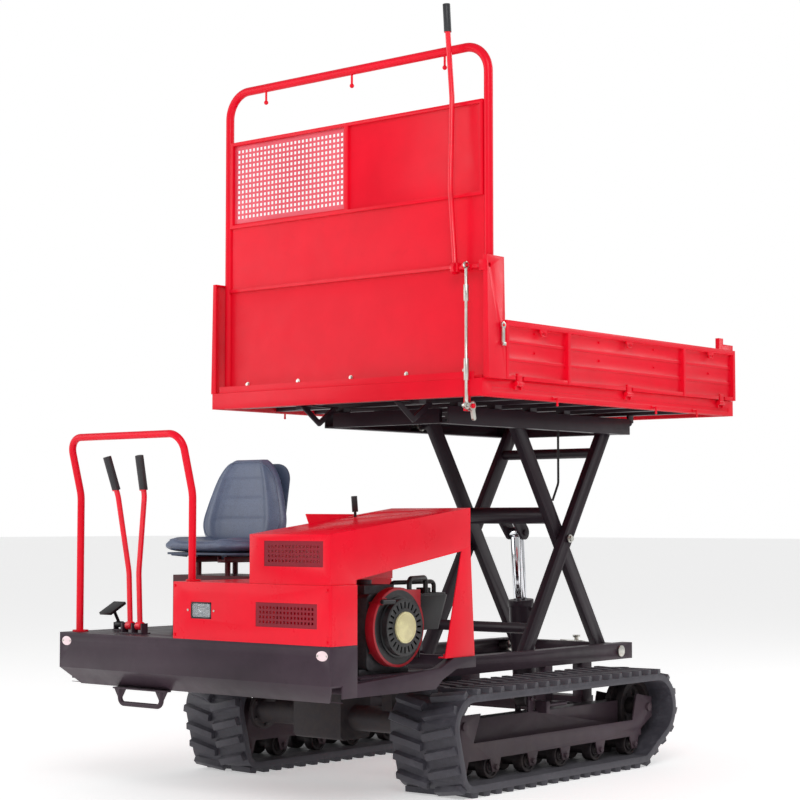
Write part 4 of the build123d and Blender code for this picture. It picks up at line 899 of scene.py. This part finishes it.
@dataclass(frozen=True)
class Cushion:
    """A moulded foam pad: rolled edges, raised wings, a dished middle and sewn channels.

    The outline is a list of (height along the pad, half width) stations joined smoothly.
    """
    name: str
    frame: Frame3
    stations: Tuple[Tuple[float, float], ...]
    depth: float
    wing: float
    dish: float
    channels: Tuple[float, ...]
    channel_depth: float = 0.005
    across_steps: int = 44
    along_steps: int = 52
    edge_power: float = 5.0

    def half_width(self, t: float) -> float:
        """Half width, smooth through the stations.

        Args:
            t: share of the length.
        Returns:
            The half width.
        """
        count = len(self.stations) - 1
        spot = min(max(t, 0.0), 1.0) * count
        i = min(int(spot), count - 1)
        f = spot - i
        value = [self.stations[min(max(k, 0), count)][1] for k in (i - 1, i, i + 1, i + 2)]
        a, b, c, d = value
        bend = (2 * a - 5 * b + 4 * c - d) * f * f
        twist = (3 * b - a - 3 * c + d) * f ** 3
        return 0.5 * (2 * b + (c - a) * f + bend + twist)

    def height_at(self, t: float) -> float:
        """Place along the pad at a share t of its length."""
        low, high = self.stations[0][0], self.stations[-1][0]
        return low + (high - low) * t

    def profile(self, u: float, v: float) -> float:
        """Share of the full depth at (u, v), both from -1 to 1."""
        roll = max(0.0, 1 - abs(u) ** self.edge_power) * max(0.0, 1 - abs(v) ** self.edge_power)
        return roll ** 0.45

    def front(self, u: float, v: float) -> float:
        """Front surface above the middle plane.

        Args:
            u, v: place across and along, from -1 to 1.
        Returns:
            The height.
        """
        base = self.depth * 0.5 * self.profile(u, v)
        wing = self.wing * math.exp(-((abs(u) - 0.74) / 0.17) ** 2) * self.profile(u, v)
        dish = -self.dish * math.exp(-(u / 0.5) ** 2) * max(0.0, 1 - v * v)
        length = self.stations[-1][0] - self.stations[0][0]
        groove = 0.0
        for c in self.channels:
            near = (v - c) * length / 2
            groove -= self.channel_depth * math.exp(-(near / 0.005) ** 2) * max(0.0, 1 - (u / 0.66) ** 8)
        wide = (abs(u) - 0.62) * 0.2
        if self.channels:
            groove -= self.channel_depth * math.exp(-(wide / 0.005) ** 2) * max(0.0, 1 - v ** 10)
        return base + wing + dish + groove

    def spot(self, u: float, v: float, front: bool) -> Vector:
        """Surface point.

        Args:
            u, v: place across and along, from -1 to 1.
            front: whether it lies on the front or the back.
        Returns:
            The point.
        """
        t = (v + 1) / 2
        corner = math.sqrt(max(0.0, 1 - 0.5 * abs(v) ** 8))
        x = u * self.half_width(t) * corner
        z = self.front(u, v) if front else -self.depth * 0.5 * self.profile(u, v)
        return self.frame.place(x, self.height_at(t), z)

    def build(self, material: Material, body: str) -> Piece:
        """Makes the pad as one closed mesh.

        Args:
            material: its covering.
            body: body it rides on.
        Returns:
            The pad.
        """
        n, m = self.across_steps, self.along_steps
        us = [-math.cos(math.pi * i / n) for i in range(n + 1)]
        vs = [-math.cos(math.pi * j / m) for j in range(m + 1)]
        bm = bmesh.new()
        rows = {True: {}, False: {}}
        for front in (True, False):
            for i, u in enumerate(us):
                for j, v in enumerate(vs):
                    border = i in (0, n) or j in (0, m)
                    if border and not front:
                        rows[front][i, j] = rows[True][i, j]
                    else:
                        rows[front][i, j] = bm.verts.new(self.spot(u, v, front))
        for front in (True, False):
            grid = rows[front]
            for i in range(n):
                for j in range(m):
                    quad = [grid[i, j], grid[i + 1, j], grid[i + 1, j + 1], grid[i, j + 1]]
                    bm.faces.new(quad if front else quad[::-1])
        bmesh.ops.recalc_face_normals(bm, faces=bm.faces)
        mesh = bpy.data.meshes.new(self.name)
        bm.to_mesh(mesh)
        bm.free()
        mesh.materials.append(material)
        mesh.polygons.foreach_set("use_smooth", [True] * len(mesh.polygons))
        obj = link_object(self.name, mesh)
        mod = obj.modifiers.new("round", "SUBSURF")
        mod.levels = mod.render_levels = 1
        baked(obj)
        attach(obj, body)
        return obj

    def piping(self, material: Material, body: str, radius: float,
               inset: float) -> Piece:
        """A welt sewn round the front face.

        Args:
            material: its covering.
            body: body it rides on.
            radius: welt radius.
            inset: share of the half width at which it runs.
        Returns:
            The welt.
        """
        loop = []
        count = 160
        for k in range(count):
            a = math.tau * k / count
            c, s = math.cos(a), math.sin(a)
            u = inset * math.copysign(abs(c) ** 0.35, c)
            v = inset * math.copysign(abs(s) ** 0.35, s)
            loop.append(tuple(self.spot(u, v, True)))
        mesh = tube_mesh(f"{self.name}_welt", loop, radius, True)
        mesh.materials.clear()
        mesh.materials.append(material)
        smooth_by_angle(mesh, 60)
        obj = link_object(f"{self.name}_welt", mesh)
        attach(obj, body)
        return obj


# ------------------------------------------------------------------ sub-assemblies

def dress(node: str, looks: Looks) -> Piece:
    """Gives a CAD node its finish, and softened edges where the node asks for them.

    Args:
        node: CAD node name.
        looks: finishes by name.
    Returns:
        The piece that shows.
    """
    finish, width = NODE_FINISH[node]
    source = frame["nodes"][node]
    if width > 0:
        return soften(node, looks[finish], width, body_of(source)[0])
    source.data.materials.clear()
    source.data.materials.append(looks[finish])
    return source


@dataclass
class SubAssembly:
    """Base of the sub-assemblies: shared finishes, shared fittings and the CAD nodes to dress."""
    looks: Looks
    fittings: Scatter
    nodes: Tuple[str, ...] = ()

    def build(self) -> int:
        """Dresses the nodes and adds the details.

        Returns:
            How many pieces it now shows.
        """
        for node in self.nodes:
            made = dress(node, self.looks)
            log.info("%s: %s, %d faces", type(self).__name__, made.name, len(made.data.polygons))
        return len(self.nodes) + self.details()

    def details(self) -> int:
        """Adds what the CAD nodes lack.

        Returns:
            How many pieces were added.
        """
        return 0

    def bolts(self, name: str, points: Sequence[Point], facing: Facing, radius: float, body: str,
              finish: str = "zinc_plate") -> int:
        """Bolt heads in one of the shared finishes.

        Args:
            name, points, facing, radius, body: as for the shared fittings.
            finish: finish name.
        Returns:
            1, the piece made.
        """
        self.fittings.bolts(name, points, facing, radius, body, self.looks[finish])
        return 1

    def side_bolts(self, name: str, points: Sequence[Point], radius: float, body: str) -> int:
        """Bolt heads on both flanks, pointing outboard.

        Args:
            name: base name of the two pieces.
            points: seats on the left flank.
            radius: hexagon radius.
            body: body they ride on.
        Returns:
            2, the pieces made.
        """
        mirrored = [(-x, y, z) for x, y, z in points]
        made = self.bolts(f"{name}_left", points, Facing.LEFT, radius, body)
        return made + self.bolts(f"{name}_right", mirrored, Facing.RIGHT, radius, body)


@dataclass
class Undercarriage(SubAssembly):
    """Rubber tracks, their frames, wheels and the final drive."""
    nodes: Tuple[str, ...] = ("track_frames", "track_belts", "drive_gearbox", "track_sprockets",
                              "track_idlers", "carrier_rollers",
                              *(f"track_rollers_{i}" for i in range(1, 7)))
    nut_radius: float = 0.011
    drive_nut_share: float = 1.3

    def details(self) -> int:
        """Adds the nuts on the outer ends of the wheel axles.

        Returns:
            How many pieces were added.
        """
        made = 0
        for i in range(1, 7):
            low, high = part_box(f"track_rollers_{i}")
            seat = (high.x, (low.y + high.y) / 2, (low.z + high.z) / 2)
            made += self.side_bolts(f"roller_nuts_{i}", [seat], self.nut_radius, f"rollers_{i}")
        for node, body in (("track_sprockets", "sprockets"), ("track_idlers", "idlers")):
            low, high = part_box(node)
            y, z = (low.y + high.y) / 2, (low.z + high.z) / 2
            radius = self.nut_radius * self.drive_nut_share
            made += self.side_bolts(f"{body}_nut", [(high.x, y, z)], radius, body)
        return made


@dataclass
class Chassis(SubAssembly):
    """Longitudinal rails, cross beams, front bumper, floor plate and step."""
    nodes: Tuple[str, ...] = ("base_rails", "frame_beams", "front_bumper", "floor_plate",
                              "bumper_reflectors", "boarding_step", "chassis_pins")
    screw_radius: float = 0.0026
    screw_insets: Tuple[float, float] = (0.006, 0.046)

    def details(self) -> int:
        """Adds the reflector screws.

        Returns:
            How many pieces were added.
        """
        low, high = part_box("bumper_reflectors")
        z = (low.z + high.z) / 2
        spots = both_sides([(high.x - inset, low.y, z) for inset in self.screw_insets])
        return self.bolts("reflector_screws", spots, Facing.FRONT, self.screw_radius, "chassis")


@dataclass
class PowerUnit(SubAssembly):
    """Engine, fan shroud, recoil starter, air cleaner and hoses."""
    nodes: Tuple[str, ...] = ("engine_block", "fan_shroud", "recoil_cover", "recoil_handle", "air_cleaner",
                              "engine_hoses")
    screw_ring: float = 0.0992
    screw_radius: float = 0.0042
    screw_count: int = 6
    screw_seat: float = 0.004

    def details(self) -> int:
        """Adds the ring of screws that holds the recoil cover.

        Returns:
            How many pieces were added.
        """
        low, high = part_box("recoil_cover")
        y, z = (low.y + high.y) / 2, (low.z + high.z) / 2
        angles = [math.tau * (k + 0.5) / self.screw_count for k in range(self.screw_count)]
        ring = [(low.x + self.screw_seat, y + self.screw_ring * math.cos(a),
                 z + self.screw_ring * math.sin(a)) for a in angles]
        return self.bolts("recoil_screws", ring, Facing.LEFT, self.screw_radius, "chassis")


@dataclass
class Bodywork(SubAssembly):
    """Red covers round the engine, their grilles and the headlamp."""
    nodes: Tuple[str, ...] = ("lower_cover", "upper_cover", "cover_grilles", "headlamp_bezel",
                              "headlamp_lens")
    screw_radius: float = 0.0042
    lamp_screw_radius: float = 0.003
    inset: float = 0.014
    front_foot: float = 0.576

    def details(self) -> int:
        """Adds the screws at the front cover's corners and beside the lamp.

        Returns:
            How many pieces were added.
        """
        low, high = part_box("lower_cover")
        lamp_low, lamp_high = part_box("headlamp_bezel")
        front = [(x, low.y, z) for x in (low.x + self.inset, high.x - self.inset)
                 for z in (self.front_foot + self.inset, high.z - self.inset)]
        made = self.bolts("cover_screws", front, Facing.FRONT, self.screw_radius, "chassis", "red_enamel")
        middle = (lamp_low.z + lamp_high.z) / 2
        sides = [(lamp_low.x - self.inset, low.y, middle), (lamp_high.x + self.inset, low.y, middle)]
        return made + self.bolts("lamp_screws", sides, Facing.FRONT, self.lamp_screw_radius, "chassis")


@dataclass
class OperatorStation(SubAssembly):
    """Guard bar, steering levers, foot pedal, shift lever and the seat with its stand."""
    nodes: Tuple[str, ...] = ("guard_bar", "steering_lever_left", "steering_lever_right", "foot_pedal",
                              "shift_lever", "seat_stand", "seat_shell")
    seat_x: float = -0.385
    lean: float = 0.16
    pan_depth: float = 0.052
    back_depth: float = 0.058
    back_foot: Point = (-0.385, -0.683, 0.875)
    back_clearance: float = 0.003
    back_rise: float = 0.022
    fill: float = 0.85
    welt_radius: float = 0.0035
    welt_inset: float = 0.93

    def details(self) -> int:
        """Adds the seat's two moulded pads, sewn and piped,.

        Returns:
            How many pieces were added.
        """
        low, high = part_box("seat_cushion")
        vinyl = self.looks["seat_vinyl"]
        pan = Cushion(
            "seat_pad",
            Frame3((self.seat_x, low.y, low.z + self.pan_depth / 2), (1, 0, 0), (0, 1, 0)),
            ((0.0, 0.196), (0.05, 0.222), (0.12, 0.226), (0.2, 0.222), (0.305, 0.2)),
            self.pan_depth, 0.012, 0.008, (-0.45, 0.0, 0.45))
        rise = Vector((0.0, self.lean, 1.0)).normalized()
        out = Vector((0.0, -1.0, self.lean)).normalized()
        gap = self.back_depth / 2 + self.back_clearance
        foot = Vector(self.back_foot) - out * gap + rise * self.back_rise
        back = Cushion(
            "seat_back_pad",
            Frame3(tuple(foot), (1, 0, 0), tuple(rise)),
            ((0.0, 0.205), (0.11, 0.222), (0.22, 0.2), (0.3, 0.165), (0.342, 0.12)),
            self.back_depth, 0.014, 0.006, (-0.4, 0.05, 0.5))
        for pad in (pan, back):
            made = pad.build(vinyl, "seat")
            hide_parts("seat_cushion")
            welt = pad.piping(vinyl, "seat", self.welt_radius, self.welt_inset)
            log.info("%s: %d faces, box top %.3f", made.name, len(made.data.polygons), high.z)
        return 4


@dataclass
class Lift(SubAssembly):
    """Scissor arms, their rollers and pins, the hydraulic cylinder and the upper frame."""
    nodes: Tuple[str, ...] = ("lift_arms_inner", "lift_arms_outer", "lower_lift_rollers",
                              "upper_lift_rollers",
                              "cylinder_barrel", "cylinder_rod", "upper_frame", "lift_cable")
    nut_radius: float = 0.013
    pin_end: float = 0.276

    def details(self) -> int:
        """Adds the nuts on the arms' middle pins.

        Returns:
            How many pieces were added.
        """
        low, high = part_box("lift_arms_outer")
        seat = (self.pin_end, (low.y + high.y) / 2, (low.z + high.z) / 2)
        return self.side_bolts("arm_nuts", [seat], self.nut_radius, "arms_inner")


@dataclass
class LoadBed(SubAssembly):
    """Bed floor, its cross members, the three drop gates and their hardware."""
    nodes: Tuple[str, ...] = ("bed_floor", "bed_crossmembers", "side_gate_left", "side_gate_right",
                              "rear_gate", "bed_hardware", "post_latch_left", "post_latch_right")
    rivet_radius: float = 0.0045
    panel_face: float = 0.694
    rivet_shares: Tuple[float, ...] = (0.12, 0.38, 0.62, 0.88)
    rivet_heights: Tuple[float, ...] = (1.618, 1.69)

    def details(self) -> int:
        """Adds the rivets of the gates' ribs.

        Returns:
            How many pieces were added.
        """
        made = 0
        for side, facing in (("left", Facing.LEFT), ("right", Facing.RIGHT)):
            low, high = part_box(f"side_gate_{side}")
            x = self.panel_face if side == "left" else -self.panel_face
            ys = [low.y + (high.y - low.y) * share for share in self.rivet_shares]
            spots = [(x, y, z) for y in ys for z in self.rivet_heights]
            made += self.bolts(f"gate_rivets_{side}", spots, facing, self.rivet_radius, f"gate_{side}",
                               "bed_enamel")
        return made


@dataclass
class Headboard(SubAssembly):
    """Front gate with its hoop and window mesh, and the control lever, rod and crank."""
    nodes: Tuple[str, ...] = ("front_gate", "gate_hoop", "gate_mesh", "control_lever", "control_rod",
                              "bell_crank")
    bolt_radius: float = 0.007
    bolt_count: int = 5
    first_bolt: float = -0.56
    bolt_pitch: float = 0.28
    bolt_height: float = 1.545
    bolt_proud: float = 0.002

    def details(self) -> int:
        """Adds the bolts along the foot of the gate.

        Returns:
            How many pieces were added.
        """
        low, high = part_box("gate_mesh")
        y = (low.y + high.y) / 2 - self.bolt_proud
        spots = [(self.first_bolt + self.bolt_pitch * i, y, self.bolt_height)
                 for i in range(self.bolt_count)]
        return self.bolts("gate_bolts", spots, Facing.FRONT, self.bolt_radius, "bed")


# ------------------------------------------------------------------ studio

@dataclass(frozen=True)
class Studio:
    """Pale floor, soft lights and the camera."""
    camera_at: Point = (4.827, -5.936, 0.988)
    camera_turn: Point = (93.68, 0.0, 39.80)
    lens: float = 84.8
    floor_half: float = 90.0
    floor_glow: float = 0.4
    air_light: float = 0.5
    air_seen: float = 1.0

    def floor(self) -> None:
        """Lays a plain pale floor under the tracks."""
        h = self.floor_half
        mesh = bpy.data.meshes.new("studio_floor")
        mesh.from_pydata([(-h, -h, 0), (h, -h, 0), (h, h, 0), (-h, h, 0)], [], [(0, 1, 2, 3)])
        g = Graph("studio_floor")
        bsdf = g.shader(Roughness=0.75, Base_Color=(0.9, 0.9, 0.9, 1.0),
                        Emission_Color=(1.0, 1.0, 1.0, 1.0), Emission_Strength=self.floor_glow)
        mesh.materials.append(g.finish(bsdf))
        link_object("studio_floor", mesh)

    def lamp(self, name: str, place: Point, aim: Point, size: float, watts: float) -> None:
        """Adds one square area light.

        Args:
            name: light name.
            place: where it hangs.
            aim: where it points.
            size: side length.
            watts: power.
        """
        data = bpy.data.lights.new(name, "AREA")
        data.shape = "SQUARE"
        data.size = size
        data.energy = watts
        obj = bpy.data.objects.new(name, data)
        obj.location = place
        obj.rotation_euler = (Vector(aim) - Vector(place)).to_track_quat("-Z", "Y").to_euler()
        bpy.context.scene.collection.objects.link(obj)

    def build(self) -> None:
        """Sets up floor, lights, surroundings and camera."""
        self.floor()
        world = bpy.data.worlds.new("studio_air")
        world.use_nodes = True
        air = Wiring(world.node_tree)
        back = air.tree.nodes["Background"]
        back.inputs["Color"].default_value = (1.0, 1.0, 1.0, 1.0)
        path = air.node("ShaderNodeLightPath")
        level = air.node("ShaderNodeMapRange", in_To_Min=self.air_light, in_To_Max=self.air_seen)
        air.link(path.outputs["Is Camera Ray"], level.inputs["Value"])
        air.link(level.outputs["Result"], back.inputs["Strength"])
        bpy.context.scene.world = world
        self.lamp("key", (4.5, -5.5, 5.5), (0.0, -0.2, 1.2), 3.5, 215)
        self.lamp("fill", (-5.5, -4.5, 3.0), (0.0, -0.2, 1.0), 4.0, 100)
        self.lamp("rim", (3.5, 5.5, 4.5), (0.0, 0.4, 1.4), 3.0, 110)
        data = bpy.data.cameras.new("camera")
        data.lens = self.lens
        data.sensor_width = 36.0
        data.clip_end = 200.0
        camera = bpy.data.objects.new("camera", data)
        camera.location = self.camera_at
        camera.rotation_euler = tuple(math.radians(v) for v in self.camera_turn)
        bpy.context.scene.collection.objects.link(camera)
        bpy.context.scene.camera = camera
        bpy.context.scene.view_settings.view_transform = "Standard"


def main() -> None:
    """Builds the studio and every sub-assembly in order."""
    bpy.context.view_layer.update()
    Studio().build()
    looks = finishes()
    fittings = Scatter()
    total = 0
    for kind in (Undercarriage, Chassis, PowerUnit, Bodywork, OperatorStation, Lift, LoadBed, Headboard):
        count = kind(looks, fittings).build()
        log.info("%s holds %d pieces", kind.__name__, count)
        total += count
    log.info("%d pieces in all", total)


if __name__ == "__main__":
    main()
